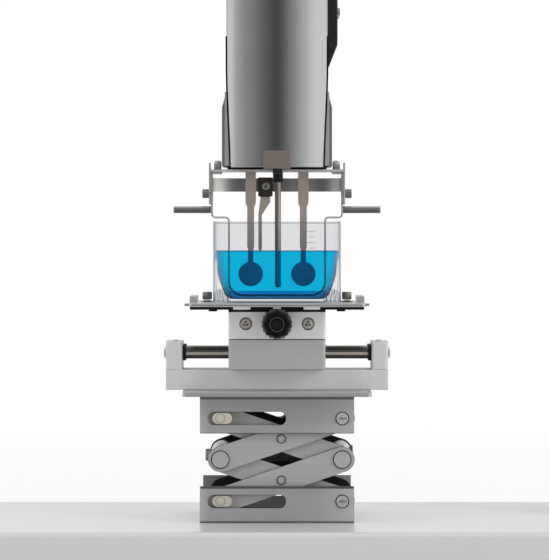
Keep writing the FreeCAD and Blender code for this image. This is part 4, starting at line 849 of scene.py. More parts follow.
@dataclass
class ScissorJack:
    """Two frames, four pairs of arms, two bars and the lead screw."""

    face: float = 40.0
    arm_face: float = 36.9
    pin_end: float = 37.6
    head_end: float = 38.0
    pivot_end: float = 41.1
    shoe_back: float = 1.3
    shoe_ahead: float = 3.4
    shoe_half: float = 3.0

    def build(self) -> None:
        """Build the jack."""
        # Eased edges of frames and arms carry painted shade.
        for node in ("jack_lower_frame", "jack_top_frame"):
            Maker.skin(node, bevel=0.2, edge="cut_edge")
        for node in ("lower_inner_arms", "lower_outer_arms", "upper_inner_arms",
                     "upper_outer_arms"):
            Maker.skin(node, bevel=0.35, edge="cut_edge")
        for node in ("jack_lower_pivot", "jack_upper_pivot", "nut_bar", "bearing_bar"):
            Maker.skin(node, bevel=0.3, smooth=50.0)
        self.lead_screw()
        self.rivets()
        self.shoes()
        self.edges()

    def edges(self) -> None:
        """Draw thin lines of painted shade along the top of both frames and the foot of the upper."""
        for node, tops in (("jack_top_frame", (False, True)), ("jack_lower_frame", (True,))):
            low, high = span(node)
            mesh = bmesh.new()
            for top in tops:
                z, deep = (high.z - 1.25, 1.2) if top else (low.z + 0.05, 0.3)
                for sign in (-1, 1):
                    y = sorted((sign * (self.face - 0.5), sign * (self.face + 0.02)))
                    Maker.box((low.x + 0.4, y[0], z), (high.x - 0.4, y[1], z + deep), mesh)
            Maker.finish(node + "_lines", mesh, "cut_edge", NODE_BODY[node])

    def lead_screw(self) -> None:
        """Build the threaded lead screw with its two collars and its hexagon socket."""
        low, high = span("jack_lead_screw")
        mid = middle("jack_lead_screw")
        bearing = middle("bearing_bar")
        centre = (0.0, mid.y, mid.z)
        screw = Thread(3.5, 0.4, 2.0).mesh(Axis.X, centre, low.x + 1.0, bearing.x - 7.0)
        Maker.turned([(2.6, low.x), (2.9, low.x + 0.3), (2.9, low.x + 1.2)], Axis.X, centre, 24,
                     None, screw)
        Maker.turned([(3.3, bearing.x - 7.2), (3.3, bearing.x + 5.0)], Axis.X, centre, 32, None,
                     screw)
        for a, b in ((bearing.x - 6.5, bearing.x - 4.7), (bearing.x + 4.7, high.x)):
            Maker.turned([(5.2, a), (5.5, a + 0.3), (5.5, b - 0.3), (5.2, b), (1.6, b),
                          (1.6, b - 0.2)], Axis.X, centre, 32, None, screw)
        Maker.finish("jack_lead_screw_skin", screw, "screw_steel", "jack_screw",
                     ("jack_lead_screw",))
        stub = Maker.turned([(3.0, low.x - 0.02), (3.3, low.x + 0.35), (3.3, low.x + 3.4),
                             (3.0, low.x + 3.6)], Axis.X, centre, 32)
        Maker.finish("jack_screw_stub", stub, "pin_steel", "jack_screw")
        # Painted shade: a dark hexagon in the screw's socket.
        socket = Maker.turned([(1.8, high.x - 0.02), (1.8, high.x + 0.02)], Axis.X, centre, 6)
        Maker.finish("jack_screw_socket", socket, "dark", "jack_screw")

    def rivets(self) -> None:
        """Set the rivets' rims, shadow gaps and screw slots on both sides."""
        places = [("nut", middle("nut_bar"), 4.4, self.arm_face, self.head_end),
                  ("bearing", middle("bearing_bar"), 4.4, self.arm_face, self.head_end)]
        for node in ("lower_outer_arms", "upper_outer_arms"):
            spot = middle(node)
            spot.x = (span("lower_outer_arms")[0].x + span("lower_outer_arms")[1].x) / 2
            places.append((NODE_BODY[node], spot, 2.0, self.arm_face, self.pin_end))
        for node in ("jack_lower_pivot", "jack_upper_pivot"):
            places.append((NODE_BODY[node], middle(node), 3.1, self.face, self.pivot_end))
        for number, (body, mid, radius, seat, end) in enumerate(places):
            gap, rim, slot = bmesh.new(), bmesh.new(), bmesh.new()
            for sign in (-1, 1):
                back = sign < 0
                Maker.outline((mid.x, sign * seat, mid.z), Axis.Y, radius + 0.28, 0.5, gap, back)
                Maker.turned([(radius + 0.02, seat - end), (radius + 0.02, -0.3),
                              (radius - 0.28, 0.03), (radius - 0.6, 0.03), (radius - 0.75, -0.02)],
                             Axis.Y, (mid.x, sign * end, mid.z), 48, None, rim, back, False)
                # Painted shade: a dark ring on each pin's end and a dark cross on each pivot's end.
                if radius == 2.0:
                    Maker.outline((mid.x, sign * end, mid.z), Axis.Y, 1.25, 0.2, slot, back)
                if radius == 3.1:
                    for tilt in (0.35, 0.35 + math.pi / 2):
                        self.slot(slot, mid, sign * end, tilt, 1.7, 0.13)
            Maker.finish("rivet_%d_gaps" % number, gap, "dark", body)
            Maker.finish("rivet_%d_rims" % number, rim, "pin_steel", body)
            if len(slot.verts):
                Maker.finish("pivot_%d_slots" % number, slot, "thumb_dark", body)

    @staticmethod
    def slot(mesh: bmesh.types.BMesh, mid: Vector, level: float, tilt: float, reach: float,
             half: float) -> None:
        """Add one dark bar of a screw's cross, in millimetres."""
        along = Vector((math.cos(tilt), 0.0, math.sin(tilt)))
        across = Vector((-along.z, 0.0, along.x))
        lift = math.copysign(0.03, level)
        made = bmesh.ops.create_cube(mesh, size=1.0)["verts"]
        for vert in made:
            c = vert.co.copy()
            vert.co = (Vector((mid.x, level + lift * (c.y + 0.5), mid.z))
                       + along * (2 * c.x * reach) + across * (2 * c.z * half)) * MM

    def shoes(self) -> None:
        """Clad the arms' sliding shoes in nylon, cap their pins and ring each cap with painted shade."""
        for node in ("upper_inner_arms", "lower_outer_arms"):
            body = NODE_BODY[node]
            pivot = "jack_upper_pivot" if "upper" in node else "jack_lower_pivot"
            level = middle(pivot).z
            side = middle(pivot).x - 64.86
            shoe, cap, gap = bmesh.new(), bmesh.new(), bmesh.new()
            points = []
            for start, shift in ((90.0, -self.shoe_back), (270.0, self.shoe_ahead)):
                for k in range(13):
                    angle = math.radians(start + 15.0 * k)
                    points.append((side + shift + (self.shoe_half + 0.03) * math.cos(angle),
                                   level + (self.shoe_half + 0.03) * math.sin(angle)))
            for sign in (-1, 1):
                ends = sorted((sign * 37.3, sign * 39.72))
                Maker.prism(points, Axis.Y, ends[0], ends[1], shoe)
                Maker.turned([(2.3, -0.1), (2.3, 0.02), (2.0, 0.12)], Axis.Y,
                             (side, sign * 39.74, level), 36, None, cap, sign < 0)
                # Painted shade: a dark ring round each pin cap.
                Maker.outline((side, sign * 39.73, level), Axis.Y, 2.45, 0.22, gap, sign < 0)
            Maker.finish(node + "_shoes", shoe, "nylon", body, bevel=0.35, segments=3)
            Maker.finish(node + "_shoe_pins", cap, "nylon", body)
            Maker.finish(node + "_shoe_gaps", gap, "thumb_dark", body)


@dataclass
class Stage:
    """X/Y stage, its knob and the table."""

    lobes: int = 8
    front: float = 26.0

    def build(self) -> None:
        """Build the stage."""
        for node, ease in (("adapter_plate", 0.3), ("stage_bar", 0.0), ("x_end_block_left", 0.3),
                           ("x_end_block_right", 0.3), ("x_carriage", 0.45), ("y_front_block", 0.4),
                           ("y_rear_block", 0.7), ("y_rod_left", 0.2), ("y_rod_right", 0.2),
                           ("table_tray", 0.15), ("table_plate", 0.3), ("y_lead_screw", 0.2)):
            Maker.skin(node, bevel=ease)
        for node in ("x_rod_front", "x_rod_rear"):
            self.guide_rod(node)
        self.knob()
        self.fasteners()
        for node in ("table_screw_left", "table_screw_right"):
            self.table_screw(node)

    def guide_rod(self, node: str) -> None:
        """Build one ground rod with its end screws and rubber rings."""
        low, high = span(node)
        mid = middle(node)
        centre = (0.0, mid.y, mid.z)
        bar = Maker.turned([(3.25, low.x + 1.5), (3.25, high.x - 1.5)], Axis.X, centre, 48)
        Maker.finish(node + "_skin", bar, "rod_chrome", NODE_BODY[node], (node,))
        heads, rings = bmesh.new(), bmesh.new()
        for sign, end in ((-1, low.x), (1, high.x)):
            seat = end - sign * 1.3
            Maker.turned([(2.8, 0.0), (2.8, 0.7), (2.2, 1.2), (1.5, 1.3), (1.4, 0.6)], Axis.X,
                         (seat, mid.y, mid.z), 28, None, heads, sign < 0)
            inner = end - sign * 10.3
            Maker.turned([(4.0, 0.0), (4.3, 0.3), (4.3, 1.5), (4.0, 1.8), (3.3, 1.8)], Axis.X,
                         (inner, mid.y, mid.z), 36, None, rings, sign > 0)
        Maker.finish(node + "_heads", heads, "steel", NODE_BODY[node])
        Maker.finish(node + "_rings", rings, "tray_black", NODE_BODY[node])

    def knob(self) -> None:
        """Build the lobed knob."""
        low, high = span("y_knob")
        mid = middle("y_knob")

        def lobe(angle: float, height: float) -> float:
            """Return the lobes' rise."""
            return 0.32 * math.cos(angle * self.lobes) if height >= 0.2 else 0.0
        body = Maker.turned([(3.5, 2.2), (3.6, 0.5), (3.9, 0.1), (5.4, 0.0), (6.3, 0.3), (6.9, 1.0),
                             (7.05, 2.0), (7.05, 8.6), (6.7, 9.8), (6.0, 10.4)], Axis.Y,
                            (mid.x, low.y, mid.z), 96, lobe)
        Maker.finish("y_knob_skin", body, "knob_black", "y_drive", ("y_knob",), 50.0)
        # Painted shade: a dark disc at the foot of the recess and a dark ring round its edge.
        plug = Maker.turned([(3.45, 1.7), (3.45, 2.1)], Axis.Y, (mid.x, low.y, mid.z), 32)
        Maker.finish("y_knob_plug", plug, "dark", "y_drive")
        ring = bmesh.new()
        Maker.outline((mid.x, low.y + 0.16, mid.z), Axis.Y, 3.75, 0.18, ring, True)
        Maker.finish("y_knob_ring", ring, "thumb_dark", "y_drive")

    def fasteners(self) -> None:
        """Set the small screws, spacers and pins of the stage and table."""
        low, high = span("adapter_plate")
        SocketScrew(1.9, 0.35).build("adapter_screws", "jack_top", Axis.Z, [
            (x, y, high.z) for x in (low.x + 6, high.x - 6) for y in (low.y + 7, high.y - 7)])
        for node in ("x_end_block_left", "x_end_block_right"):
            lo, hi = span(node)
            mid = middle(node)
            SocketScrew(1.7, 0.3).build(node + "_screws", "jack_top", Axis.Z, [
                (mid.x, y, hi.z) for y in (lo.y + 5.0, hi.y - 5.0)])
        lo, hi = span("table_tray")
        mesh = bmesh.new()
        for a, b, drop in ((-23.4, -14.2, 1.5), (14.2, 23.0, 1.5), (-2.1, 2.1, 1.1)):
            Maker.box((a, lo.y - 4.0, hi.z - drop), (b, lo.y + 5.9, hi.z - 0.02), mesh)
        Maker.finish("tray_spacers", mesh, "white", "table", bevel=0.15)
        self.recess_screws()
        lo, hi = span("table_plate")
        pins = bmesh.new()
        for sign, end in ((-1, lo.x), (1, hi.x)):
            Maker.turned([(0.75, -2.0), (0.75, 2.4), (0.5, 2.7)], Axis.X,
                         (end, -24.0, lo.z + 1.0), 20, None, pins, sign < 0)
        Maker.finish("table_pins", pins, "steel", "table")
        # Painted shade: a dark line along the front of the table plate.
        line = Maker.box((lo.x + 1.0, lo.y - 0.02, lo.z + 0.75),
                         (hi.x - 1.0, lo.y + 0.4, lo.z + 1.0))
        Maker.finish("table_lip_shade_line", line, "gauge", "table")

    def recess_screws(self) -> None:
        """Dress the two rod ends in the Y block's face as three-hole screws."""
        gap, dots, cap = bmesh.new(), bmesh.new(), bmesh.new()
        for node in ("y_rod_left", "y_rod_right"):
            mid, face = middle(node), span(node)[0].y
            # Painted shade in the gaps round each screw and in its three holes.
            Maker.outline((mid.x, -self.front, mid.z), Axis.Y, 3.28, 0.36, gap, True)
            Maker.outline((mid.x, face, mid.z), Axis.Y, 2.55, 0.22, gap, True)
            Maker.turned([(1.75, -1.0), (1.75, 0.05), (1.4, 0.2), (0.3, 0.24)], Axis.Y,
                         (mid.x, face, mid.z), 32, None, cap, True)
            for k in range(3):
                angle = math.radians(90.0 + 120.0 * k)
                Maker.turned([(0.48, 0.0), (0.48, 0.26)], Axis.Y, (
                    mid.x + 1.15 * math.cos(angle), face, mid.z + 1.15 * math.sin(angle)), 14,
                             None, dots, True)
        Maker.finish("recess_gaps", gap, "dark", "table")
        Maker.finish("recess_caps", cap, "steel", "table")
        Maker.finish("recess_dots", dots, "dark", "table")

    def table_screw(self, node: str) -> None:
        """Build one knurled table screw."""
        low, high = span(node)
        mid = middle(node)
        centre = (mid.x, mid.y, 0.0)
        foot = high.z - 5.0
        head = Maker.turned([(1.3, foot + 0.3), (2.2, foot + 0.3), (2.6, foot + 0.7),
                             (2.6, high.z - 1.0), (2.3, high.z - 0.5), (0.6, high.z - 0.4)], Axis.Z,
                            centre, 96, Maker.knurl(24, 0.18, foot + 0.5, high.z - 0.9))
        Maker.turned([(1.8, foot - 0.8), (1.8, foot)], Axis.Z, centre, 32, None, head)
        Maker.turned([(1.4, low.z), (1.4, foot)], Axis.Z, centre, 24, None, head)
        Maker.finish(node + "_skin", head, "thumb_brown", NODE_BODY[node], (node,))
        washer = Maker.turned([(3.4, foot - 0.88), (3.4, foot - 0.55), (3.1, foot - 0.42),
                               (1.4, foot - 0.42)], Axis.Z, centre, 40)
        Maker.finish(node + "_washer", washer, "thumb_dark", "table")


@dataclass
class Cup:
    """The clear cup with its liquid and its graduation lines.

    A streak is its angles at the foot and the head, its two heights and its width in degrees.
    """

    wide: float = 69.2
    deep: float = 43.0
    corner: float = 14.0
    high: float = 43.7
    plate: float = 2.0
    rim: float = 0.6
    skirt: float = 1.2
    floor: float = 1.6
    well_high: float = 42.1
    floor_wide: float = 54.4
    floor_deep: float = 30.0
    floor_corner: float = 9.0
    taper_high: float = 26.8
    taper_wide: float = 67.8
    taper_deep: float = 41.4
    fill: float = 26.3
    bulge: float = 1.9
    foot_round: float = 3.2
    steps: int = 10
    streak_inset: float = 0.35
    # Streaks of painted shade.
    dark_streaks: tuple[tuple[float, ...], ...] = (
        (76.0, 70.0, 0.5, 42.0, 1.3), (52.0, 66.0, 0.6, 12.0, 1.6), (36.0, 42.0, 0.5, 6.0, 1.8),
        (47.0, 49.0, 0.5, 8.0, 1.1), (24.0, 27.0, 0.4, 3.0, 3.0), (60.0, 70.0, 4.0, 20.0, 1.0))
    # Streaks of painted highlight.
    pale_streaks: tuple[tuple[float, ...], ...] = (
        (43.0, 60.0, 0.6, 15.0, 2.6), (31.0, 37.0, 0.6, 6.0, 1.8), (57.0, 67.0, 12.0, 42.0, 3.2),
        (56.0, 68.0, 0.8, 16.0, 2.4))

    def well(self, rise: float, grow: float, level: float) -> list[Vector]:
        """Return the well's outline at a height above its floor.

        Args:
            rise: height above the inside floor, in millimetres.
            grow: distance outside the inner face, in millimetres.
            level: the outline's height, in millimetres.

        Returns:
            The outline.
        """
        below = 1.0 - (1.0 - min(max(rise / self.taper_high, 0.0), 1.0)) ** self.bulge
        above = max(0.0, (rise - self.taper_high) / (self.well_high - self.taper_high))
        wide = (self.floor_wide + (self.taper_wide - self.floor_wide) * below
                + (self.wide - 2 * self.rim - self.taper_wide) * above)
        deep = (self.floor_deep + (self.taper_deep - self.floor_deep) * below
                + (self.deep - 2 * self.rim - self.taper_deep) * above)
        corner = self.floor_corner + 1.6 * below + 1.4 * above
        return Maker.round_rect(wide + 2 * grow, deep + 2 * grow, corner + grow, level, self.steps)

    def rounding(self, inside: float, gap: float) -> list[list[Vector]]:
        """Return the rounded foot of the well, from its side to its floor."""
        loops = []
        for k in range(7):
            angle = math.radians(15.0 * k)
            rise = self.foot_round * (1.0 - math.sin(angle))
            loops.append(self.well(rise, gap - self.foot_round * (1.0 - math.cos(angle)),
                                   inside + max(rise, -gap)))
        return loops

    def build(self) -> None:
        """Build the cup and what is in it."""
        foot = span("table_plate")[0].z + self.plate
        top = foot + self.high
        inside = foot + self.floor
        rect = Maker.round_rect
        s = self.steps
        loops = [rect(self.wide - 2 * self.skirt, self.deep - 2 * self.skirt,
                      self.corner - self.skirt, foot, s),
                 rect(self.wide, self.deep, self.corner, foot, s),
                 rect(self.wide, self.deep, self.corner, top - 0.6, s),
                 rect(self.wide - 0.5, self.deep - 0.5, self.corner - 0.25, top, s),
                 self.well(self.well_high, 0.3, top), self.well(41.5, 0.0, top - 0.6)]
        loops += [self.well(k, 0.0, inside + k)
                  for k in (34.0, self.taper_high, 21.0, 15.0, 10.0, 6.0)]
        loops += self.rounding(inside, 0.0)
        Maker.finish("cup_skin", Maker.rings(loops, (False, True)), "cup_clear", "table",
                     ("cup",), 60.0)
        self.liquid(inside)
        self.glints(foot, top)
        self.marks(top)

    def glints(self, foot: float, top: float) -> None:
        """Draw the front corners' painted highlights, streaks and foot shade, and the rim's band of painted shade.
        """
        # Painted highlights: pale sheets in the front corners.
        mesh = bmesh.new()
        for sign, first, last in ((-1, 57.0, 68.0), (1, 60.0, 68.0)):
            turns = [first + (last - first) * k / 6 for k in range(7)]
            self.sheet([[self.front_corner(sign, turn, z) for turn in turns]
                        for z in (foot + 9.0, top - 1.2)], mesh)
        Maker.finish("cup_corners", mesh, "glint", "table", (), 60.0)
        # Painted shade: grey see-through sheets at the foot of the front corners.
        foot_shade_sheet = bmesh.new()
        for sign in (-1, 1):
            turns = [18.0 + 66.0 * k / 8 for k in range(9)]
            self.sheet([[self.front_corner(sign, turn, foot + z - slope * k, 0.1)
                         for k, turn in enumerate(turns)]
                        for z, slope in ((0.4, 0.0), (5.0, 0.0), (9.0, 0.5))], foot_shade_sheet)
        Maker.finish("cup_foot_shade", foot_shade_sheet, "foot_haze", "table", (), 60.0)
        # Painted shade: a grey see-through band along the rim.
        lip = [Maker.round_rect(self.wide - 0.1, self.deep - 0.1, self.corner, z, self.steps)
               for z in (top - 1.2, top - 0.65)]
        Maker.finish("cup_rim_line", Maker.rings(lip, (False, False)), "rim_line", "table", (),
                     60.0)
        # Streaks of painted shade and painted highlight in the front corners.
        for name, finish, lines in (("cup_streaks_dark", "mark", self.dark_streaks),
                                    ("cup_streaks_pale", "white", self.pale_streaks)):
            mesh = bmesh.new()
            for sign in (-1, 1):
                for first, last, low, high, wide in lines:
                    self.sheet([[self.front_corner(sign, turn + side * wide / 2, foot + z)
                                 for side in (-1, 1)] for turn, z in ((first, low), (last, high))],
                               mesh)
            Maker.finish(name, mesh, finish, "table")

    def front_corner(self, sign: int, turn: float, z: float, inset: float = 0.0) -> Vector:
        """Return a point inside a front corner's skin.

        Args:
            sign: -1 for the left corner, 1 for the right one.
            turn: angle from straight ahead, in degrees.
            z: height, in millimetres.
            inset: further distance from the skin, in millimetres.

        Returns:
            The point, in millimetres.
        """
        angle, r = math.radians(turn), self.corner - self.streak_inset - inset
        return Vector((sign * (self.wide / 2 - self.corner + r * math.sin(angle)),
                       -(self.deep / 2 - self.corner + r * math.cos(angle)), z))

    @staticmethod
    def sheet(rows: Sequence[Sequence[Vector]], mesh: bmesh.types.BMesh) -> None:
        """Add an open surface through rows of points, in millimetres."""
        made = [[mesh.verts.new(point * MM) for point in row] for row in rows]
        for low, high in zip(made, made[1:]):
            for k in range(len(low) - 1):
                mesh.faces.new((low[k], low[k + 1], high[k + 1], high[k]))

    def liquid(self, inside: float) -> None:
        """Pour the sample."""
        gap = -0.12
        loops = [self.well(self.fill, -0.5, inside + self.fill),
                 self.well(self.fill, -0.25, inside + self.fill - 0.03)]
        loops += [self.well(k, gap, inside + k)
                  for k in (self.fill - 0.3, 21.0, 15.0, 10.0, 6.0)]
        loops += self.rounding(inside, gap)
        Maker.finish("sample_liquid", Maker.rings(loops), "liquid", "table", (), 60.0)
        edge = [self.well(self.fill, gap + 0.02, inside + self.fill - 0.42),
                self.well(self.fill, gap + 0.02, inside + self.fill)]
        Maker.finish("liquid_line", Maker.rings(edge, (False, False)), "meniscus", "table", (),
                     60.0)
        band = bmesh.new()
        corners = [(-25.0, 0.9), (25.0, 0.9), (26.2, 2.2), (26.6, 4.6), (-26.6, 4.6), (-26.2, 2.2)]
        band.faces.new([band.verts.new(Vector((x, -13.0, inside + z)) * MM) for x, z in corners])
        Maker.finish("liquid_depth", band, "deep_liquid", "table")

    def marks(self, top: float) -> None:
        """Draw short graduation lines on the cup's front."""
        mesh = bmesh.new()
        face = -self.deep / 2 - 0.03
        for k in range(4):
            z = top - 5.5 - 3.0 * k
            length = 5.0 if k % 2 == 0 else 3.0
            Maker.box((20.5 - length, face, z), (20.5, face + 0.05, z + 0.22), mesh)
        Maker.finish("cup_lines", mesh, "mark", "table")


@dataclass
class SensorHead:
    """Everything that hangs under the head: frame, protector, plates and probe."""

    fold: float = 208.6
    tip_high: float = 3.0
    tip_up: float = 2.9
    gauge_screw: tuple[float, float] = (-6.05, 214.45)
    handle_root: float = 35.85
    handle_drop: float = 23.1
    clip_high: float = 2.5

    def build(self) -> None:
        """Build the sensing parts."""
        self.gauge()
        # Eased edges carry painted shade.
        for node in ("frame_plate", "protector"):
            Maker.skin(node, bevel=0.2, smooth=30.0, edge="cut_edge")
        for node, ease in (("back_band", 0.12),
                           ("probe_boss", 0.3), ("paddle_left", 0.12),
                           ("paddle_right", 0.12), ("spring_left", 0.2), ("spring_right", 0.2),
                           ("chassis", 0.4), ("drive_unit", 0.4),
                           ("circuit_board", 0.1), ("probe_tube", 0.0)):
            Maker.skin(node, bevel=ease, smooth=30.0 if "tube" not in node else 60.0)
        for node, sign in (("side_screw_left", -1), ("side_screw_right", 1)):
            self.side_screw(node, sign)
        for node in ("frame_screw_left", "frame_screw_right"):
            self.frame_screw(node)
        self.small_screws()
        self.handles()
        self.tab()

    def gauge(self) -> None:
        """Dress the level gauge, its upper part a dark taupe deepened by painted shade, with a pale leg whose tip
        just touches the liquid.
        """
        gauge = Maker.skin("level_gauge", "gauge", 0.15, split=self.fold).data
        gauge.materials.append(Palette.get("gauge_leg"))
        for face in gauge.polygons:
            face.material_index = int(face.center.z < self.fold * MM)
        tip = min(v.co.z for v in gauge.vertices)
        for vert in gauge.vertices:
            if vert.co.z < tip + self.tip_high * MM:
                vert.co.z += self.tip_up * MM

    def tab(self) -> None:
        """Build the front tab with the dark clip under it."""
        low, high = span("front_tab")
        split = low.z + self.clip_high
        plate = Maker.box((low.x, low.y, split), (high.x, high.y, high.z))
        Maker.finish("front_tab_skin", plate, "tab_taupe", "head", ("front_tab",), 35.0, 0.3)
        clip = Maker.box((-2.3, low.y + 0.1, low.z), (2.7, high.y - 0.1, split + 0.1))
        Maker.finish("front_tab_clip", clip, "boss_black", "head", bevel=0.15)

    def handles(self) -> None:
        """Sleeve the two handle rods and their rounded ends."""
        low, high = span("protector")
        level = span("head_front_cover")[0].z - self.handle_drop
        for name, end, sign in (("left", low.x, -1), ("right", high.x, 1)):
            root = sign * self.handle_root
            long = abs(end - root)
            rod = Maker.turned([(1.98, 0.0), (1.98, long - 0.35), (1.65, long), (0.3, long)],
                               Axis.X, (root, 0.0, level), 40, None, None, sign < 0)
            Maker.finish("handle_" + name, rod, "handle", NODE_BODY["protector"])

    def side_screw(self, node: str, sign: int) -> None:
        """Build a knurled screw at the side of the protector."""
        low, high = span(node)
        mid = middle(node)
        outer = high.x if sign > 0 else low.x
        centre = (outer - sign * 3.6, mid.y, mid.z)
        mesh = Maker.turned([(1.0, -2.3), (1.0, 0.0), (2.2, 0.0), (2.5, 0.3), (2.5, 3.2),
                             (2.2, 3.55), (1.2, 3.6)], Axis.X, centre, 112,
                            Maker.knurl(14, 0.45, 0.2, 3.3), None, sign < 0)
        Maker.finish(node + "_skin", mesh, "handle", NODE_BODY[node], (node,))

    def frame_screw(self, node: str) -> None:
        """Build a knurled screw on the frame plate."""
        low, high = span(node)
        mid = middle(node)
        foot = high.z - 5.1
        mesh = Maker.turned([(0.95, low.z), (0.95, foot), (1.7, foot), (2.0, foot + 0.3),
                             (2.0, high.z - 1.0), (1.6, high.z - 0.25), (0.7, high.z)], Axis.Z,
                            (mid.x, mid.y, 0.0), 112,
                            Maker.knurl(14, 0.3, foot + 0.2, high.z - 0.9))
        Maker.finish(node + "_skin", mesh, "thumb_steel", NODE_BODY[node], (node,))

    def small_screws(self) -> None:
        """Set the gauge's cross-slotted screw, with painted shade in its slot, and a line of painted shade along
        its fold.
        """
        face = span("level_gauge")[0].y
        x, z = self.gauge_screw
        mesh = Maker.turned([(2.15, -0.1), (2.15, 0.35), (1.8, 0.75), (0.9, 0.95), (0.3, 1.0)],
                            Axis.Y, (x, face, z), 32, None, None, True)
        Maker.finish("gauge_screw", mesh, "steel", "head")
        # Painted shade: the dark cross of the slot.
        slot = bmesh.new()
        for wide, high in ((1.3, 0.22), (0.22, 1.3)):
            Maker.box((x - wide, face - 1.03, z - high), (x + wide, face - 0.9, z + high), slot)
        Maker.finish("gauge_screw_slot", slot, "dark", "head")
        # Painted shade: a dark strip along the fold.
        fold = Maker.box((-9.2, face - 0.04, self.fold + 0.1), (-3.8, face + 0.02, self.fold + 0.5))
        Maker.finish("gauge_fold_shade", fold, "dark", "head")


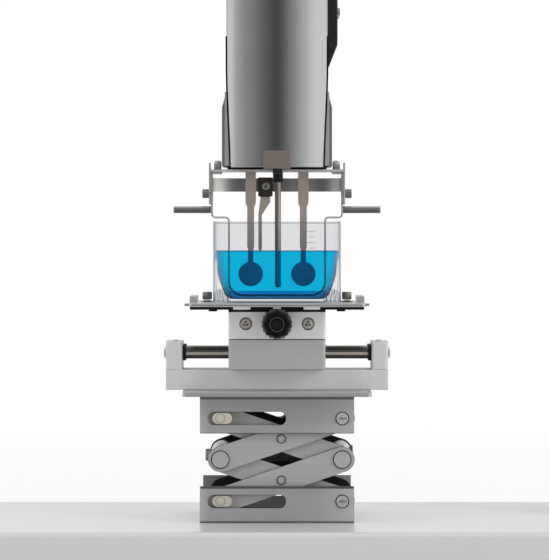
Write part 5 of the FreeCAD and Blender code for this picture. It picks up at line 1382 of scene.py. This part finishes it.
@dataclass
class MeasuringHead:
    """Front cover, rear housing, bracket, arm, slider and its two knobs."""

    cover_round: float = 38.7
    cover_wall: float = 1.6
    cover_steps: int = 40
    rear: float = 50.0

    def build(self) -> None:
        """Build the head and what carries it."""
        self.cover()
        self.housing()
        for node, ease in (("head_bracket", 0.8), ("head_arm", 0.0), ("column_slider", 0.8)):
            Maker.skin(node, bevel=ease)
        self.hand_knob("lift_knob", 14.0, 16.0, 10)
        self.hand_knob("lock_knob", 10.0, 15.0, 8)
        self.fasteners()

    def cover(self) -> None:
        """Build the convex front cover as one smooth curved shell."""
        low, high = span("head_front_cover")
        radius, count = self.cover_round, self.cover_steps
        centre_y = low.y + radius
        rows = [(low.z - 0.6, 24.9), (low.z + 10, 25.2), (low.z + 20, 25.65), (low.z + 30, 26.1),
                (low.z + 40, 26.5), (low.z + 50.1, 26.75), (low.z + 70, 26.85), (high.z, 26.9)]
        outer, inner = [], []
        for z, half in rows:
            for loop, r, cut in ((outer, radius, 0.0), (inner, radius - self.cover_wall, 0.4)):
                ring = []
                for k in range(count + 1):
                    x = -(half - cut) + 2 * (half - cut) * k / count
                    ring.append(Vector((x, centre_y - math.sqrt(r * r - x * x), z)))
                loop.append(ring)
        mesh = bmesh.new()
        verts = [[[mesh.verts.new(p * MM) for p in ring] for ring in loop]
                 for loop in (outer, inner)]
        for side in verts:
            for a, b in zip(side, side[1:]):
                for i in range(count):
                    mesh.faces.new((a[i], a[i + 1], b[i + 1], b[i]))
        for row in (0, len(rows) - 1):
            for i in range(count):
                mesh.faces.new((verts[0][row][i], verts[0][row][i + 1], verts[1][row][i + 1],
                                verts[1][row][i]))
        for end in (0, count):
            for a in range(len(rows) - 1):
                mesh.faces.new((verts[0][a][end], verts[0][a + 1][end], verts[1][a + 1][end],
                                verts[1][a][end]))
        Maker.finish("head_front_cover_skin", mesh, "cover_silver", "head", ("head_front_cover",),
                     30.0, 0.4)
        # Painted shade: a black strip in the seam at each side of the cover.
        seam = bmesh.new()
        for sign in (-1, 1):
            inner_side = [(sign * (half - 0.1), max(z, low.z + 0.3)) for z, half in rows[:-1]]
            outer_side = [(x + sign * 0.95, z) for x, z in reversed(inner_side)]
            Maker.prism(inner_side + outer_side, Axis.Y, -20.06, -19.9, seam)
        Maker.finish("cover_seam_shade", seam, "tray_black", "head")
        lip = bmesh.new()
        for sign in (-1, 1):
            inner_side = [(sign * (half + 0.8), max(z, low.z + 0.3)) for z, half in rows[:5]]
            Maker.prism(inner_side + [(sign * 28.1, low.z + 40.0), (sign * 28.1, low.z + 0.3)],
                        Axis.Y, -20.3, -19.95, lip)
        Maker.finish("cover_lip", lip, "table_steel", "head")
        roof = [(x, centre_y - math.sqrt((radius - 1.3) ** 2 - x * x))
                for x in (-25.8 + 51.6 * k / 24 for k in range(25))]
        lid = Maker.prism(roof, Axis.Z, high.z - 2.2, high.z - 0.2)
        Maker.finish("head_cover_top", lid, "cover_silver", "head", bevel=0.2)

    def housing(self) -> None:
        """Dress the rear housing and add its vent gauze, socket and screws."""
        Maker.skin("head_rear_housing", bevel=0.6)
        low, high = span("head_rear_housing")
        back = self.rear
        gauze = Maker.box((-17.0, back - 2.45, low.z + 58.0), (17.0, back - 2.3, low.z + 104.0))
        Maker.finish("vent_gauze", gauze, "dark", "head")
        mid = (0.0, back + 7.0, high.z - 60.0)
        ring = Maker.turned([(8.03, -7.0), (8.03, -0.6), (7.4, 0.02), (5.9, 0.02), (5.8, -0.3)],
                            Axis.Y, mid, 48, None, None, False, False)
        Maker.finish("socket_ring", ring, "steel", "head")
        core = Maker.turned([(5.6, -3.9), (5.6, -1.6)], Axis.Y, mid, 32)
        Maker.finish("socket_core", core, "boss_black", "head")
        pins = bmesh.new()
        for k in range(6):
            a = math.tau * k / 6
            Maker.turned([(0.5, -1.7), (0.5, 0.0), (0.3, 0.1)], Axis.Y,
                         (mid[0] + 3.4 * math.cos(a), mid[1] - 0.8, mid[2] + 3.4 * math.sin(a)), 10,
                         None, pins)
        Maker.finish("socket_pins", pins, "thumb_steel", "head")
        SocketScrew(2.0, 0.6).build("housing_screws", "head", Axis.Y, [
            (x, back, z) for x in (-20.0, 20.0) for z in (low.z + 45.0, high.z - 12.0)])

    def hand_knob(self, node: str, radius: float, length: float, flutes: int) -> None:
        """Build a fluted hand knob with a metal face.

        Args:
            node: the CAD node.
            radius: knob radius, in millimetres.
            length: knob length, in millimetres.
            flutes: number of finger grooves.
        """
        low, high = span(node)
        joint = next(j for j in frame["joints"] if j["child"] == NODE_BODY[node])
        x, z = joint["pos_m"][0] / MM, joint["pos_m"][2] / MM
        centre = (x, low.y, z)
        ripple = Maker.knurl(flutes, radius * 0.09, 1.2, length - 1.5)
        grip = Maker.turned([(radius - 3.0, 0.9), (radius - 2.6, 0.0), (radius - 1.2, 0.0),
                             (radius - 0.2, 0.9), (radius, 2.0), (radius, length - 3.0),
                             (radius * 0.92, length - 1.0), (radius * 0.7, length - 0.2)],
                            Axis.Y, centre, 120, ripple)
        Maker.finish(node + "_grip", grip, "knob_black", NODE_BODY[node], (node,), 50.0)
        face = Maker.turned([(radius - 3.1, 0.55), (radius - 3.1, 0.95)], Axis.Y, centre, 60)
        Maker.finish(node + "_face", face, "steel", NODE_BODY[node])
        shaft = 4.0 if node == "lift_knob" else 3.0
        rod = Maker.turned([(shaft, length - 0.5), (shaft, high.y - low.y)], Axis.Y, centre, 32)
        if node == "lift_knob":
            Maker.turned([(9.0, 41.0), (9.0, 54.0)], Axis.Y, centre, 96,
                         Maker.knurl(18, 0.9, 40, 55), rod)
        Maker.finish(node + "_shaft", rod, "screw_steel", NODE_BODY[node])

    def fasteners(self) -> None:
        """Set the screws of the bracket, arm and slider."""
        low, high = span("head_bracket")
        SocketScrew(2.4, 1.4).build("bracket_screws", "head", Axis.X, [
            (high.x, y, z) for y in (low.y + 5, high.y - 5) for z in (low.z + 30, low.z + 50)])
        low, high = span("column_slider")
        SocketScrew(2.4, 1.2).build("slider_screws", "head", Axis.Y, [
            (x, low.y, z) for x in (low.x + 4.5, high.x - 5.0)
            for z in (high.z - 6.0, low.z + 6.0)], True)
        # Painted shade: a dark strip where the slider's slit is.
        slit = Maker.box((high.x - 0.05, 34.3, low.z + 2.0), (high.x + 0.03, 35.7, high.z - 2.0))
        Maker.finish("slider_slit", slit, "dark", "head")


@dataclass
class Studio:
    """Floor, background, lamps and camera."""

    distance: float = 1.8
    eye: float = 0.1933
    scale: float = 1.84
    horizon: float = 225.0
    middle: float = 277.0
    image: tuple[int, int] = (549, 560)
    windows: tuple[tuple[float, float], ...] = (
        (0.0, 1.0), (0.012, 0.95), (0.03, 0.60), (0.10, 0.40), (0.22, 0.28), (0.325, 0.18),
        (0.44, 0.11), (0.52, 0.10), (0.60, 0.17), (0.65, 0.26), (0.72, 0.38), (0.80, 0.53),
        (0.92, 0.88), (0.96, 1.0), (1.0, 1.0))

    def build(self) -> None:
        """Build the studio."""
        self.floor()
        self.world()
        self.lamps()
        self.camera()
        bpy.context.scene.view_settings.view_transform = "Standard"

    def unseen_share(self, graph: Graph) -> Wire:
        """Return 1 for rays that should see the plain white background."""
        seen = graph.add("ShaderNodeLightPath", out="Is Camera Ray") + graph.add(
            "ShaderNodeLightPath", out="Is Transmission Ray")
        return seen.stretch(0.0, 1.0)

    def floor(self) -> None:
        """Lay a pale floor that keeps the object's shadow."""
        mesh = bpy.data.meshes.new("floor")
        size = 30.0
        mesh.from_pydata([(-size, -size, 0), (size, -size, 0), (size, size, 0), (-size, size, 0)],
                         [], [(0, 1, 2, 3)])
        obj = bpy.data.objects.new("floor", mesh)
        bpy.context.scene.collection.objects.link(obj)
        graph = Graph("floor_white")
        matte = graph.add("ShaderNodeBsdfDiffuse", {}, {"Color": (0.86, 0.86, 0.86)})
        glow = graph.add("ShaderNodeEmission", {}, {"Color": (1.0, 1.0, 1.0), "Strength": 1.0})
        away = graph.add("ShaderNodeVectorMath", {"operation": "LENGTH"}, {
            0: graph.place()}, "Value").stretch(250.0, 1400.0)
        share = self.unseen_share(graph) * (away * 0.38 + 0.62)
        mesh.materials.append(graph.close(graph.add("ShaderNodeMixShader", {}, {
            0: share, 1: matte, 2: glow})))
        obj.visible_glossy = False

    def world(self) -> None:
        """Light the object from a studio and show plain white to the camera.

        The studio is white behind the object, dark behind the camera, and opens to a wide
        window on the right and a narrow one on the left.
        """
        world = bpy.data.worlds.new("room")
        bpy.context.scene.world = world
        graph = Graph("room", world)
        way = graph.add("ShaderNodeTexCoord", out="Generated")
        around = graph.ramp(graph.part(way, Axis.X).stretch(-1.0, 1.0), self.windows)
        behind = graph.part(way, Axis.Y).stretch(-0.05, 0.30)
        above = graph.part(way, Axis.Z).stretch(0.40, 0.90)
        room = graph.blend(behind, around, (1.0, 1.0, 1.0))
        room = graph.blend(above * 0.9, room, (0.85, 0.85, 0.85))
        shown = graph.blend(self.unseen_share(graph), room, (1.0, 1.0, 1.0))
        graph.close(graph.add("ShaderNodeBackground", {}, {"Color": shown, "Strength": 1.0}))

    def lamp(self, name: str, place: Sequence[float], aim: Sequence[float],
             size: tuple[float, float], power: float) -> None:
        """Hang one soft lamp.

        Args:
            name: the lamp's name.
            place: its centre, in metres.
            aim: the point that it faces.
            size: width and height, in metres.
            power: watts.
        """
        data = bpy.data.lights.new(name, "AREA")
        data.shape = "RECTANGLE"
        data.size, data.size_y = size
        data.energy = power
        obj = bpy.data.objects.new(name, data)
        bpy.context.scene.collection.objects.link(obj)
        obj.location = place
        obj.rotation_euler = (Vector(aim) - Vector(place)).to_track_quat("-Z", "Y").to_euler()
        obj.visible_glossy = False

    def lamps(self) -> None:
        """Hang the lamps."""
        self.lamp("top", (0.0, -0.5, 1.8), (0.0, 0.0, 0.2), (1.6, 1.6), 4.0)
        self.lamp("right", (1.5, -0.9, 0.7), (0.0, 0.0, 0.2), (0.7, 1.4), 16.0)
        self.lamp("left", (-1.5, -0.9, 0.7), (0.0, 0.0, 0.2), (0.6, 1.4), 12.0)

    def camera(self) -> None:
        """Set the camera level in front, as in the photograph."""
        data = bpy.data.cameras.new("camera")
        wide, high = self.image
        across = wide / self.scale * MM
        data.sensor_fit = "HORIZONTAL"
        data.sensor_width = 36.0
        data.lens = 36.0 * self.distance / across
        data.shift_x = (wide / 2 - self.middle) / wide
        data.shift_y = (self.horizon - high / 2) / wide
        data.clip_start, data.clip_end = 0.05, 60.0
        obj = bpy.data.objects.new("camera", data)
        bpy.context.scene.collection.objects.link(obj)
        obj.location = (0.0, -self.distance, self.eye)
        obj.rotation_euler = (math.radians(90.0), 0.0, 0.0)
        bpy.context.scene.camera = obj


def dress_rest() -> None:
    """Give every CAD node its own finish, hidden ones too."""
    for node, obj in frame["nodes"].items():
        obj.data.materials.clear()
        obj.data.materials.append(Palette.get(NODE_SLOT[node]))


def main() -> None:
    """Build the instrument piece by piece, then the studio."""
    logging.basicConfig(level=logging.INFO, format="%(name)s: %(message)s")
    dress_rest()
    for assembly in (Stand(), ScissorJack(), Stage(), Cup(), SensorHead(), MeasuringHead()):
        LOG.info("building %s", type(assembly).__name__)
        assembly.build()
    Studio().build()


if __name__ == "__main__":
    main()
